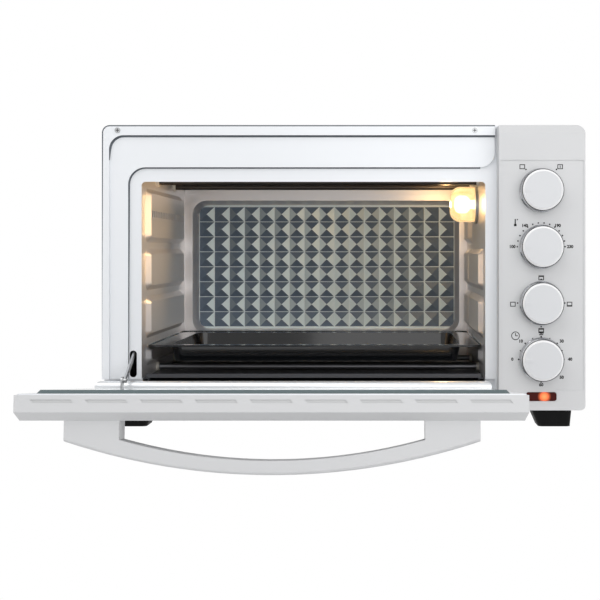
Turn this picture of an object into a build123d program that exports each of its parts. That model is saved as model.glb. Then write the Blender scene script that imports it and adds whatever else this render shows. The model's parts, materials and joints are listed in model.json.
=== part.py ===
from build123d import *
import math
import os

# A countertop mini oven with a drop-down door, in millimetres.
# X runs to the right, Y into the oven and Z up from the table.
# While it is drawn, the rim of the front frame lies at Y = 0 and the door is shut.

# Cabinet
SHEET = 1.0
LEFT_BORDER = 40.1
OPENING_WIDTH = 359.8
RIGHT_BORDER = 11.7
CONTROL_WIDTH = 88.4
FOOT_HEIGHT = 20.0
OPENING_SILL = 26.0
OPENING_HEIGHT = 210.3
TOP_BORDER = 58.7
CABINET_CORNER = 8.0
COVER_FLANGE = 12.0
REAR_SPACE = 12.0
SEAT_GAP = 0.3

# Front frame steps, from the rim inwards
RIM_TOP = 10.5
RIM_SIDE = 7.4
RIM_CORNER = 15.0
BAND_DEPTH = 3.0
INNER_RIM_TOP = 15.0
INNER_RIM_SIDE = 13.4
INNER_CORNER = 18.0
INNER_DEPTH = 6.0
TROUGH_DEPTH = 11.0
TROUGH_RISE = 4.0
BAND_END_CORNER = 15.0
OPENING_CORNER = 4.0
LINK_SLOT_WIDTH = 7.4
LINK_SLOT_HEIGHT = 28.0
LINK_SLOT_RISE = 5.6
LINK_SLOT_INSET = 5.0

# Cavity
CAVITY_DEPTH = 273.0
CEILING_RISE = 17.7
RIB_PROUD = 5.0
RIB_SLOPE = 48.0
RIB_CORNER = 8.0
SHELF_PITCH = 51.2
LOWEST_SHELF = 38.1
LOWEST_RIB = 15.5
SHELF_SLOT = 6.5
TOP_RIB_DROP = 5.3
LEFT_RIB_START = 21.0
LEFT_RIB_END = 30.0
RIGHT_RIB_START = 25.0
RIGHT_RIB_BREAK = 178.0
RIGHT_RIB_SPACE = 7.0
RIGHT_RIB_END = 18.0
RECESS_WIDTH = 340.0
RECESS_HEIGHT = 169.4
RECESS_DEPTH = 25.0
RECESS_DRAFT = 5.0
RECESS_CORNER = 18.0
RECESS_RISE = 33.0
PYRAMID_COLUMNS = 17
PYRAMID_ROWS = 8
PYRAMID_PITCH = 19.4
PYRAMID_GROOVE = 0.8
PYRAMID_HEIGHT = 3.4
LOUVRE_WIDTH = 6.0
LOUVRE_HEIGHT = 7.0

# Heaters and lamp
HEATER_RADIUS = 3.25
HEATER_CLEARANCE = 0.05
HEATER_OVERHANG = 14.0
UPPER_HEATER_RISE = 4.5
LOWER_HEATER_RISE = 9.2
FRONT_HEATER_DEPTH = 91.0
HEATER_SPACING = 106.0
INSULATOR_RADIUS = 4.9
INSULATOR_COLLAR = 6.5
LAMP_DEPTH = 118.0
LAMP_DROP = 19.3
LAMP_RADIUS = 20.0
LAMP_REACH = 28.0
LAMP_COLLAR = 22.0
LAMP_COLLAR_THICKNESS = 3.0
LAMP_GLASS_WALL = 1.5
BULB_RADIUS = 10.0
BULB_HALF_LENGTH = 9.0
BULB_CORNER = 7.0

# Trays
TRAY_GAP = 1.9
TRAY_DEPTH = 234.0
TRAY_SETBACK = 21.6
TRAY_FLANGE = 22.0
TRAY_PAN_DEPTH = 17.0
TRAY_RIM = 0.9
TRAY_CORNER = 12.0
TRAY_DRAFT = 12.0
CRUMB_SHEET = 0.6
CRUMB_RISE = 4.4
CRUMB_SETBACK = 13.0
CRUMB_LIP = 4.2
CRUMB_LEDGE = 6.6

# Door
DOOR_GAP = 2.1
DOOR_OVERHANG = 2.0
DOOR_THICKNESS = 21.6
DOOR_CLEARANCE = 0.7
DOOR_BASE = 2.0
DOOR_TOP_DROP = 1.0
DOOR_SKIN = 2.5
BEVEL_HEIGHT = 8.9
BEVEL_DEPTH = 6.9
DOOR_SIDE_BEVEL = 2.6
OPEN_ANGLE = 84.0
HINGE_INSET = 10.0
HINGE_RISE = 8.0
HINGE_PIN_RADIUS = 2.5
HINGE_PIN_LENGTH = 16.0
PIN_CLEARANCE = 0.05
HINGE_ARM_THICKNESS = 4.0
HINGE_ARM_RADIUS = 4.5
HINGE_ARM_INSET = 12.0
HINGE_ROOT = 14.0
NOTCH_CLEARANCE = 0.6
VENT_COUNT = 9
VENT_PITCH = 43.9
VENT_LENGTH = 34.3
VENT_WIDTH = 2.8
VENT_SLANT = 2.0
VENT_INSET = 4.6
WINDOW_SIDE = 46.0
WINDOW_TOP = 52.0
WINDOW_BOTTOM = 58.0
WINDOW_CORNER = 14.0
WINDOW_LAP = 8.0
GLASS_THICKNESS = 3.0
INNER_GLASS_SIDE = 13.1
INNER_GLASS_CORNER = 6.0
INNER_GLASS_RISE = 48.0
INNER_GLASS_TOP = 12.0
INNER_PANEL_INSET = 1.5
RAIL_HEIGHT = 18.0
RAIL_DROP = 4.0
RAIL_PROUD = 9.5
RAIL_RADIUS = 6.0
RAIL_SHORT = 5.5

# Handle
HANDLE_LENGTH = 335.0
HANDLE_DEPTH = 21.8
HANDLE_TOP_INSET = 9.0
HANDLE_END_REACH = 16.6
HANDLE_REACH = 43.4
HANDLE_POST = 44.5
HANDLE_INNER_REACH = 32.0
HANDLE_INNER_END = 15.4
HANDLE_EDGE = 2.5
HANDLE_SCREW_RADIUS = 2.0
HANDLE_SCREW_HEAD = 4.0
HANDLE_SCREW_GRIP = 9.0

# Stay link of the door
LINK_LENGTH = 70.0
LINK_THICKNESS = 2.0
LINK_WIDTH = 5.0
LINK_ANGLE = 26.0
LINK_PIVOT_REACH = 10.0
LINK_PIVOT_RISE = 29.6
LINK_PIN_RADIUS = 1.5
LINK_GAP = 0.3
EAR_THICKNESS = 2.0
EAR_RADIUS = 4.0
EAR_INSET = 0.8
LINK_HOOK_RADIUS = 4.0

# Control panel
FASCIA_SKIN = 2.5
FASCIA_TOP_CORNER = 8.5
FASCIA_BOTTOM_CORNER = 5.0
FASCIA_SIDE_CORNER = 1.0
FASCIA_BASE = 1.7
FASCIA_TOP_DROP = 1.5
FASCIA_TOP_SECTION = 36.5
FASCIA_LOWER_SECTION = 20.5
FASCIA_STEP = 0.8
FASCIA_STEP_SIDE = 1.6
KNOB_COUNT = 4
KNOB_PITCH = 57.65
LOWEST_KNOB = 53.9
KNOB_RADIUS = 20.6
KNOB_HEIGHT = 17.0
KNOB_BEVEL = 1.8
KNOB_GAP = 0.5
KNOB_RING_RADIUS = 22.5
KNOB_RING_HEIGHT = 3.2
KNOB_RING_SLOPE = 0.9
POINTER_LENGTH = 6.5
POINTER_WIDTH = 3.0
POINTER_HEIGHT = 0.5
POINTER_INSET = 2.6
SPINDLE_RADIUS = 3.0
SPINDLE_CLEARANCE = 0.05
SPINDLE_HOLE = 6.0
SPINDLE_GRIP = 10.0
BUSHING_RADIUS = 5.0
BUSHING_LENGTH = 4.0
TIMER_CASE_RADIUS = 23.0
TIMER_CASE_DEPTH = 20.0
TIMER_END_RADIUS = 17.0
TIMER_DEPTH = 27.0
THERMOSTAT_CASE_SIDE = 34.0
THERMOSTAT_CASE_DEPTH = 18.0
THERMOSTAT_END_RADIUS = 14.0
THERMOSTAT_DEPTH = 26.0
HEAT_SWITCH_WIDTH = 40.0
HEAT_SWITCH_HEIGHT = 32.0
HEAT_SWITCH_DEPTH = 34.0
MODE_SWITCH_WIDTH = 32.0
MODE_SWITCH_HEIGHT = 38.0
MODE_SWITCH_DEPTH = 26.0
CONTROL_EDGE = 6.0
LENS_WIDTH = 31.0
LENS_HEIGHT = 8.9
LENS_RISE = 9.7
LENS_CORNER = 2.5
LENS_PROUD = 0.6
NEON_RADIUS = 3.0
NEON_LENGTH = 16.0

# Feet, fixings and openings of the sheets
FOOT_TOP = 43.4
FOOT_BOTTOM = 33.8
FOOT_INSET = 8.5
FOOT_SETBACK = 10.0
FRAME_SCREW_RADIUS = 3.0
FRAME_SCREW_SHANK = 1.5
FRAME_SCREW_HEAD = 0.4
FRAME_SCREW_LENGTH = 8.0
FRAME_SCREW_LEFT_INSET = 16.2
FRAME_SCREW_RIGHT_INSET = 21.1
FRAME_SCREW_DROP = 5.4
COVER_SCREW_RADIUS = 3.5
COVER_SCREW_HEAD = 2.0
COVER_SLOT_LENGTH = 40.0
COVER_SLOT_HEIGHT = 3.0
COVER_SLOT_PITCH = 10.0
COVER_SLOT_COUNT = 8
REAR_SLOT_COUNT = 12
INLET_RADIUS = 11.0
INLET_HEIGHT = 34.0

# Places that follow from the sizes
cabinet_width = LEFT_BORDER + OPENING_WIDTH + RIGHT_BORDER + CONTROL_WIDTH
left = -cabinet_width / 2
right = cabinet_width / 2
opening_left = left + LEFT_BORDER
opening_right = opening_left + OPENING_WIDTH
fascia_left = right - CONTROL_WIDTH
door_left = left - DOOR_OVERHANG
door_right = fascia_left - DOOR_GAP
cabinet_bottom = FOOT_HEIGHT + SHEET
opening_bottom = cabinet_bottom + OPENING_SILL
opening_top = opening_bottom + OPENING_HEIGHT
cabinet_top = opening_top + TOP_BORDER
ceiling = opening_top + CEILING_RISE
frame_depth = TROUGH_DEPTH + SHEET
trough_top = opening_bottom + TROUGH_RISE
cavity_front = INNER_DEPTH + SHEET
cavity_rear = cavity_front + CAVITY_DEPTH
recess_end = cavity_rear + RECESS_DEPTH
rear = recess_end + SHEET + REAR_SPACE
cavity_middle = (opening_left + opening_right) / 2
recess_middle = opening_bottom + RECESS_RISE + RECESS_HEIGHT / 2

door_inner = -DOOR_CLEARANCE
door_outer = door_inner - DOOR_THICKNESS
door_bottom = cabinet_bottom + DOOR_BASE
door_top = cabinet_top - DOOR_TOP_DROP
hinge_y = door_inner - HINGE_INSET
hinge_z = door_bottom + HINGE_RISE
panel_front = door_inner - SHEET

fascia_front = door_outer + 0.3
fascia_back = INNER_DEPTH
fascia_face = fascia_front + FASCIA_STEP
fascia_bottom = FOOT_HEIGHT + FASCIA_BASE
fascia_top = cabinet_top - FASCIA_TOP_DROP
knob_x = fascia_left + CONTROL_WIDTH / 2 - 1
control_front = cavity_front
control_back = control_front + SHEET
link_x = opening_left - LINK_SLOT_INSET - LINK_SLOT_WIDTH / 2


def block(x0, x1, y0, y1, z0, z1):
    """A box between two corners."""
    middle = Pos((x0 + x1) / 2, (y0 + y1) / 2, (z0 + z1) / 2)
    return middle * Box(x1 - x0, y1 - y0, z1 - z0)


def rod_x(radius, x0, x1, y, z):
    """A round rod along X."""
    return Pos((x0 + x1) / 2, y, z) * Rot(0, 90, 0) * Cylinder(radius, x1 - x0)


def rod_y(radius, x, y0, y1, z):
    """A round rod along Y."""
    return Pos(x, (y0 + y1) / 2, z) * Rot(90, 0, 0) * Cylinder(radius, y1 - y0)


def area(x0, x1, z0, z1, radius=0):
    """A rectangle of the front view, with round corners where a radius is given."""
    middle = Pos((x0 + x1) / 2, (z0 + z1) / 2)
    if radius > 0:
        return middle * RectangleRounded(x1 - x0, z1 - z0, radius)
    return middle * Rectangle(x1 - x0, z1 - z0)


def round_corner(sketch, x, z, radius):
    """A sketch with the corner nearest to a point made round."""
    corner = sketch.vertices().sort_by_distance((x, z, 0))[0]
    return fillet(corner, radius)


def slab(sketch, y0, y1):
    """A front-view sketch made solid between two depths."""
    front = Plane(origin=(0, y0, 0), x_dir=(1, 0, 0), z_dir=(0, -1, 0))
    return extrude(front * sketch, amount=-(y1 - y0))


def beam(points, x0, x1):
    """A side-view polygon of (Y, Z) points made solid between two X places."""
    side = Plane(origin=(x0, 0, 0), x_dir=(0, 1, 0), z_dir=(1, 0, 0))
    return extrude(side * make_face(Polyline(*points, close=True)), amount=x1 - x0)


def open_door(piece):
    """A piece of the shut door, turned down about the hinge."""
    return Pos(0, hinge_y, hinge_z) * Rot(OPEN_ANGLE, 0, 0) * Pos(0, -hinge_y, -hinge_z) * piece


def opened_point(y, z):
    """A point of the shut door's side view after the door is turned down."""
    turn = math.radians(OPEN_ANGLE)
    dy = y - hinge_y
    dz = z - hinge_z
    return (
        hinge_y + dy * math.cos(turn) - dz * math.sin(turn),
        hinge_z + dy * math.sin(turn) + dz * math.cos(turn),
    )


def cabinet_area(skin):
    """The cabinet's front outline, drawn in by a skin."""
    sketch = area(left + skin, right - skin, cabinet_bottom + skin, cabinet_top - skin)
    sketch = round_corner(sketch, left, cabinet_top, CABINET_CORNER - skin)
    return round_corner(sketch, right, cabinet_top, CABINET_CORNER - skin)


def frame_form(skin):
    """The front frame's stepped form, drawn in by a skin."""
    form = slab(cabinet_area(skin), skin, frame_depth)
    beyond = right + 1
    band_top = cabinet_top - RIM_TOP + skin
    band_left = left + RIM_SIDE - skin
    band = area(band_left, beyond, 0, band_top)
    band = round_corner(band, band_left, band_top, RIM_CORNER + skin)
    strip = area(door_right - skin, beyond, 0, cabinet_top + 1)
    inner_top = opening_top + INNER_RIM_TOP + skin
    inner_left = opening_left - INNER_RIM_SIDE - skin
    inner = area(inner_left, beyond, 0, inner_top)
    inner = round_corner(inner, inner_left, inner_top, INNER_CORNER + skin)
    inner = round_corner(inner + strip, door_right - skin, inner_top, BAND_END_CORNER - skin)
    trough = area(left - 1, door_right + 1 + skin, 0, trough_top + skin)
    form -= slab(band, -1, BAND_DEPTH + skin)
    form -= slab(inner, -1, INNER_DEPTH + skin)
    return form - slab(trough, -1, TROUGH_DEPTH + skin)


def frame_screw_places():
    """Where the two screws of the front frame's rim sit."""
    z = cabinet_top - FRAME_SCREW_DROP
    return [(left + FRAME_SCREW_LEFT_INSET, z), (door_right - FRAME_SCREW_RIGHT_INSET, z)]


def hinge_places():
    """The left edge of each hinge arm."""
    inner_left = door_left + HINGE_ARM_INSET
    inner_right = door_right - HINGE_ARM_INSET - HINGE_ARM_THICKNESS
    return {"left": inner_left, "right": inner_right}


def front_frame():
    """The pressed front with its steps, opening, link slot and control window."""
    frame = frame_form(0) - frame_form(SHEET)
    hole = area(opening_left, opening_right, opening_bottom, opening_top, OPENING_CORNER)
    foot_of_hole = area(opening_left, opening_right, opening_bottom, opening_bottom + OPENING_CORNER)
    frame -= slab(hole, -1, frame_depth + 1)
    frame -= slab(foot_of_hole, -1, frame_depth + 1)
    slot_left = link_x - LINK_SLOT_WIDTH / 2
    slot_bottom = opening_bottom + LINK_SLOT_RISE
    slot = area(slot_left, slot_left + LINK_SLOT_WIDTH, slot_bottom, slot_bottom + LINK_SLOT_HEIGHT,
                LINK_SLOT_WIDTH / 2 - 0.1)
    frame -= slab(slot, -1, frame_depth + 1)
    window = area(fascia_left + CONTROL_EDGE + 4, right - CONTROL_EDGE - 4,
                  cabinet_bottom + 2 * CONTROL_EDGE, cabinet_top - 4 * CONTROL_EDGE, CONTROL_EDGE)
    frame -= slab(window, -1, frame_depth + 1)
    for x, z in frame_screw_places():
        frame -= rod_y(FRAME_SCREW_SHANK + HEATER_CLEARANCE, x, -1, frame_depth, z)
    reach = HINGE_ARM_RADIUS + NOTCH_CLEARANCE
    for x in hinge_places().values():
        frame -= block(x - NOTCH_CLEARANCE, x + HINGE_ARM_THICKNESS + NOTCH_CLEARANCE,
                       0, frame_depth + 1, hinge_z - reach, hinge_z + reach)
    return frame


def slot_rows(count, pitch, first):
    """The places of a row of evenly spaced slots."""
    return [first + pitch * index for index in range(count)]


def outer_cover():
    """The wrap of sheet steel over the top and both sides, with vent slots on the right."""
    cover = slab(cabinet_area(0), frame_depth, rear) - slab(cabinet_area(SHEET), 0, rear + 1)
    cover -= block(left + COVER_FLANGE, right - COVER_FLANGE, 0, rear + 1, 0, cabinet_bottom + 2 * SHEET)
    for z in slot_rows(COVER_SLOT_COUNT, COVER_SLOT_PITCH, cabinet_bottom + 3 * COVER_FLANGE):
        for y in (rear * 0.4, rear * 0.4 + 1.4 * COVER_SLOT_LENGTH):
            cover -= block(right - 2 * SHEET, right + 1, y, y + COVER_SLOT_LENGTH, z, z + COVER_SLOT_HEIGHT)
    return cover


def rear_slot_left():
    """Where the rear panel's vent slots start."""
    return cavity_middle - REAR_SLOT_COUNT * 1.2 * COVER_SLOT_PITCH / 2


def rear_panel():
    """The flat rear sheet inside the cover, with vent slots and the cord's hole."""
    gap = SHEET + SEAT_GAP
    panel = block(left + gap, right - gap, rear - SHEET, rear, cabinet_bottom, cabinet_top - gap)
    for corner_x in (left + gap, right - gap):
        edge = panel.edges().filter_by(Axis.Y).sort_by_distance((corner_x, rear, cabinet_top))[0]
        panel = fillet(edge, CABINET_CORNER)
    panel -= block(left, left + COVER_FLANGE + gap, rear - 2 * SHEET, rear + 1,
                   0, cabinet_bottom + SHEET + SEAT_GAP)
    panel -= block(right - COVER_FLANGE - gap, right, rear - 2 * SHEET, rear + 1,
                   0, cabinet_bottom + SHEET + SEAT_GAP)
    top = cabinet_top - 2 * COVER_FLANGE
    for x in slot_rows(REAR_SLOT_COUNT, 1.2 * COVER_SLOT_PITCH, rear_slot_left()):
        panel -= block(x, x + COVER_SLOT_HEIGHT, rear - 2, rear + 1, top - COVER_SLOT_LENGTH, top)
    panel -= rod_y(INLET_RADIUS - 2, knob_x, rear - 2, rear + 1, cabinet_bottom + INLET_HEIGHT)
    return panel


def cord_inlet():
    """The bushing in the rear panel."""
    z = cabinet_bottom + INLET_HEIGHT
    body = rod_y(INLET_RADIUS, knob_x, rear, rear + 4, z)
    body += rod_y(INLET_RADIUS - 2 - HEATER_CLEARANCE, knob_x, rear - 6, rear, z)
    return body - rod_y(INLET_RADIUS / 3, knob_x, rear - 7, rear + 5, z)


def base_panel():
    """The bottom sheet with its slots under the cavity."""
    panel = block(left + SHEET, right - SHEET, INNER_DEPTH, rear, FOOT_HEIGHT, cabinet_bottom)
    for x in slot_rows(COVER_SLOT_COUNT, 3 * COVER_SLOT_PITCH, cavity_middle - 12 * COVER_SLOT_PITCH):
        for y in (rear * 0.3, rear * 0.6):
            panel -= block(x, x + COVER_SLOT_HEIGHT, y, y + COVER_SLOT_LENGTH,
                           FOOT_HEIGHT - 1, cabinet_bottom + 1)
    return panel


def foot(side, y0):
    """A tapered foot; side is -1 at the left and 1 at the right."""
    outer = side * (right - FOOT_INSET)
    top = Plane.XY.offset(FOOT_HEIGHT) * Pos(outer - side * FOOT_TOP / 2, y0 + FOOT_TOP / 2)
    low_y = y0 + FOOT_TOP / 2
    low = Pos(outer - side * (FOOT_BOTTOM / 2 + 1.2), low_y)
    return loft([low * RectangleRounded(FOOT_BOTTOM, FOOT_BOTTOM, 5),
                 top * RectangleRounded(FOOT_TOP, FOOT_TOP, 5)])


def frame_screws():
    """The two screws in the front frame's rim."""
    pieces = []
    for x, z in frame_screw_places():
        pieces.append(rod_y(FRAME_SCREW_RADIUS, x, -FRAME_SCREW_HEAD, 0, z)
                      + rod_y(FRAME_SCREW_SHANK, x, 0, FRAME_SCREW_LENGTH, z))
    return pieces


def cover_screws():
    """The screws that hold the rear panel."""
    columns = (left + 2 * COVER_FLANGE, right - 2 * COVER_FLANGE)
    rows = (cabinet_top - COVER_FLANGE, cabinet_bottom + COVER_FLANGE)
    return [rod_y(COVER_SCREW_RADIUS, x, rear, rear + COVER_SCREW_HEAD, z) for z in rows for x in columns]


def rib(y0, y1, z0, z1):
    """A hollow pressed rib on a wall whose inner face is X = 0; gives what to add and what to cut."""
    face = Plane(origin=(0, 0, 0), x_dir=(0, 1, 0), z_dir=(1, 0, 0))
    back = Plane(origin=(-SHEET, 0, 0), x_dir=(0, 1, 0), z_dir=(1, 0, 0))
    middle = Pos((y0 + y1) / 2, (z0 + z1) / 2)
    full = middle * RectangleRounded(y1 - y0, z1 - z0, RIB_CORNER)
    hollow = middle * RectangleRounded(y1 - y0 - SHEET, z1 - z0 - SHEET, RIB_CORNER - SHEET / 2)
    add = extrude(face * full, amount=RIB_PROUD, taper=RIB_SLOPE)
    cut = extrude(back * hollow, amount=RIB_PROUD, taper=RIB_SLOPE)
    return add, cut


def rib_rows():
    """The height range of each rib row, from the bottom."""
    rows = [(opening_bottom + LOWEST_RIB, opening_bottom + LOWEST_SHELF)]
    for index in range(2):
        shelf = opening_bottom + LOWEST_SHELF + SHELF_PITCH * index
        rows.append((shelf + SHELF_SLOT, shelf + SHELF_PITCH))
    top_shelf = opening_bottom + LOWEST_SHELF + 2 * SHELF_PITCH
    rows.append((top_shelf + SHELF_SLOT, opening_top - TOP_RIB_DROP))
    return rows


def heater_places():
    """The (Y, Z) place of each heater tube, by name."""
    rear_depth = FRONT_HEATER_DEPTH + HEATER_SPACING
    upper = opening_top + UPPER_HEATER_RISE
    lower = opening_bottom + LOWER_HEATER_RISE
    return {
        "upper_front_heater": (FRONT_HEATER_DEPTH, upper),
        "upper_rear_heater": (rear_depth, upper),
        "lower_front_heater": (FRONT_HEATER_DEPTH, lower),
        "lower_rear_heater": (rear_depth, lower),
    }


def side_wall(columns, top_columns):
    """A cavity side wall with its inner face at X = 0 and its ribs towards +X."""
    wall = block(-SHEET, 0, cavity_front, cavity_rear, opening_bottom, ceiling)
    wall -= block(-2 * SHEET, SHEET, 0, frame_depth, 0, trough_top + SHEET)
    rows = rib_rows()
    for index, (z0, z1) in enumerate(rows):
        is_top = index == len(rows) - 1
        for y0, y1 in (top_columns if is_top else columns):
            add, cut = rib(y0, y1, z0, z1)
            wall = wall + add - cut
            if is_top:
                middle = z0 + 0.47 * (z1 - z0)
                pitch = (y1 - y0 - 2 * RIB_CORNER) / max(1, round((y1 - y0) / 11))
                start = y0 + RIB_CORNER + 2
                while start + LOUVRE_WIDTH < y1 - RIB_CORNER:
                    wall -= block(0, RIB_PROUD + 1, start, start + LOUVRE_WIDTH,
                                  middle, middle + LOUVRE_HEIGHT)
                    start += pitch
    for y, z in heater_places().values():
        wall -= rod_x(INSULATOR_RADIUS + HEATER_CLEARANCE, -2 * SHEET, 2 * SHEET, y, z)
    return wall


def cavity_left_wall():
    """The left wall, with one column of ribs."""
    column = [(cavity_front + LEFT_RIB_START, cavity_rear - LEFT_RIB_END)]
    return Pos(opening_left, 0, 0) * side_wall(column, column)


def cavity_right_wall():
    """The right wall, with two columns of ribs and the lamp's hole."""
    first = (cavity_front + RIGHT_RIB_START, cavity_front + RIGHT_RIB_BREAK)
    second = (cavity_front + RIGHT_RIB_BREAK + RIGHT_RIB_SPACE, cavity_rear - RIGHT_RIB_END)
    wall = mirror(side_wall([first, second], [second]), about=Plane.YZ)
    wall = Pos(opening_right, 0, 0) * wall
    hole = rod_x(LAMP_COLLAR - 6, opening_right - 1, opening_right + 2 * SHEET, LAMP_DEPTH,
                 opening_top - LAMP_DROP)
    return wall - hole


def cavity_roof():
    """The ceiling with the flanges behind the front frame and before the back."""
    roof = block(opening_left - SHEET, opening_right + SHEET, cavity_front, cavity_rear,
                 ceiling, ceiling + SHEET)
    roof += block(opening_left + SEAT_GAP, opening_right - SEAT_GAP, cavity_front, cavity_front + SHEET,
                  opening_top, ceiling)
    roof += block(opening_left + SEAT_GAP, opening_right - SEAT_GAP, cavity_rear - SHEET, cavity_rear,
                  opening_top, ceiling)
    return roof


def cavity_floor():
    """The floor with the two ledges that carry the crumb tray."""
    floor = block(opening_left - SHEET, opening_right + SHEET, frame_depth, cavity_rear,
                  opening_bottom - SHEET, opening_bottom)
    ledge_top = opening_bottom + CRUMB_RISE - SEAT_GAP
    for outer, inner in ((opening_left + SEAT_GAP, opening_left + CRUMB_LEDGE),
                         (opening_right - SEAT_GAP, opening_right - CRUMB_LEDGE)):
        toward = SHEET if inner > outer else -SHEET
        x0, x1 = sorted((outer, inner))
        w0, w1 = sorted((inner - toward, inner))
        floor += block(x0, x1, frame_depth + 2, cavity_rear - 2, ledge_top - SHEET, ledge_top)
        floor += block(w0, w1, frame_depth + 2, cavity_rear - 2, opening_bottom, ledge_top - SHEET)
    return floor


def recess_form(skin):
    """The drafted recess of the back wall, grown by a skin."""
    front = Plane(origin=(cavity_middle, cavity_rear, recess_middle), x_dir=(-1, 0, 0), z_dir=(0, 1, 0))
    draft = math.degrees(math.atan(RECESS_DRAFT / RECESS_DEPTH))
    mouth = RectangleRounded(RECESS_WIDTH + 2 * skin, RECESS_HEIGHT + 2 * skin, RECESS_CORNER + skin)
    return extrude(front * mouth, amount=RECESS_DEPTH, taper=draft)


def cavity_back():
    """The back sheet with its deep recess, open where the back plate closes it."""
    back = block(opening_left - SHEET, opening_right + SHEET, cavity_rear, cavity_rear + SHEET,
                 opening_bottom - SHEET, ceiling + SHEET)
    back += recess_form(SHEET)
    return back - recess_form(0)


def diamond_plate():
    """The plate that closes the recess, with its rows of pyramids."""
    half_x = RECESS_WIDTH / 2 - RECESS_DRAFT + SHEET
    half_z = RECESS_HEIGHT / 2 - RECESS_DRAFT + SHEET
    sheet = slab(area(cavity_middle - half_x, cavity_middle + half_x,
                      recess_middle - half_z, recess_middle + half_z, RECESS_CORNER - RECESS_DRAFT),
                 recess_end, recess_end + SHEET)
    foot_size = PYRAMID_PITCH - PYRAMID_GROOVE
    tip = foot_size / 2
    pyramid = Rot(90, 0, 0) * Pos(0, 0, PYRAMID_HEIGHT / 2) * Rot(90, 0, 0) * Wedge(
        foot_size, PYRAMID_HEIGHT, foot_size, tip - 0.3, tip - 0.3, tip + 0.3, tip + 0.3)
    hollow = recess_form(0)
    pieces = []
    for column in range(PYRAMID_COLUMNS):
        x = cavity_middle + (column - (PYRAMID_COLUMNS - 1) / 2) * PYRAMID_PITCH
        for row in range(PYRAMID_ROWS):
            z = recess_middle + (row - (PYRAMID_ROWS - 1) / 2) * PYRAMID_PITCH
            piece = Pos(x, recess_end, z) * pyramid
            if column in (0, PYRAMID_COLUMNS - 1) and row in (0, PYRAMID_ROWS - 1):
                piece &= hollow
            pieces.append(piece)
    return sheet.fuse(*pieces)


def heater(place):
    """A straight heater tube across the cavity."""
    y, z = place
    return rod_x(HEATER_RADIUS, opening_left - HEATER_OVERHANG, opening_right + CONTROL_EDGE + 4, y, z)


def heater_insulators():
    """The ceramic bushing at both ends of each heater tube."""
    pieces = []
    for y, z in heater_places().values():
        bore = rod_x(HEATER_RADIUS + HEATER_CLEARANCE, left, right, y, z)
        for wall, out in ((opening_left, -1), (opening_right, 1)):
            n0, n1 = sorted((wall - 3 * out, wall + 6 * out))
            c0, c1 = sorted((wall + SHEET * out, wall + 6 * out))
            bushing = rod_x(INSULATOR_RADIUS, n0, n1, y, z) + rod_x(INSULATOR_COLLAR, c0, c1, y, z)
            pieces.append(bushing - bore)
    return pieces


def lamp_pieces():
    """The glass, bulb and holder of the oven lamp on the right wall."""
    z = opening_top - LAMP_DROP
    wall = opening_right
    collar_face = wall - LAMP_COLLAR_THICKNESS
    neck = LAMP_COLLAR - 6 - HEATER_CLEARANCE
    holder = rod_x(LAMP_COLLAR, collar_face, wall, LAMP_DEPTH, z)
    holder += rod_x(neck, wall, wall + SHEET + 8, LAMP_DEPTH, z)
    holder -= rod_x(neck - 4, collar_face - 1, wall + 2, LAMP_DEPTH, z)
    glass = lamp_form(collar_face, LAMP_RADIUS, LAMP_REACH, z)
    glass -= lamp_form(collar_face + 0.01, LAMP_RADIUS - LAMP_GLASS_WALL, LAMP_REACH - LAMP_GLASS_WALL, z)
    bulb_middle = collar_face - LAMP_REACH / 2
    bulb = rod_x(BULB_RADIUS, bulb_middle - BULB_HALF_LENGTH, bulb_middle + BULB_HALF_LENGTH, LAMP_DEPTH, z)
    bulb = fillet(bulb.edges().filter_by(GeomType.CIRCLE), BULB_CORNER)
    bulb += rod_x(BULB_RADIUS / 2, bulb_middle, wall + 2, LAMP_DEPTH, z)
    return {"lamp_glass": glass, "lamp_bulb": bulb, "lamp_holder": holder}


def lamp_form(base, radius, reach, z):
    """A dome on the right wall that reaches towards -X."""
    dome = rod_x(radius, base - reach, base, LAMP_DEPTH, z)
    tip = dome.faces().sort_by(Axis.X)[0]
    return fillet(tip.edges(), radius * 0.6)


def heat_shield():
    """The sheet between the cavity and the controls."""
    x = fascia_left + CONTROL_EDGE - 4
    return block(x, x + SHEET, frame_depth + SEAT_GAP, rear - SHEET, cabinet_bottom, cabinet_top - 3 * SHEET)


def control_plate():
    """The plate behind the front frame that carries the switches."""
    plate = block(fascia_left + CONTROL_EDGE, right - CONTROL_EDGE, control_front, control_back,
                  cabinet_bottom + CONTROL_EDGE, cabinet_top - 3 * CONTROL_EDGE)
    for z in knob_places():
        plate -= rod_y(BUSHING_RADIUS + HEATER_CLEARANCE, knob_x, 0, frame_depth, z)
    return plate


def knob_places():
    """The height of each knob, from the lowest."""
    return [FOOT_HEIGHT + LOWEST_KNOB + KNOB_PITCH * index for index in range(KNOB_COUNT)]


def switch_case(width, height, depth, z):
    """A switch's square case behind the control plate."""
    return block(knob_x - width / 2, knob_x + width / 2, control_back, control_back + depth,
                 z - height / 2, z + height / 2)


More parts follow.
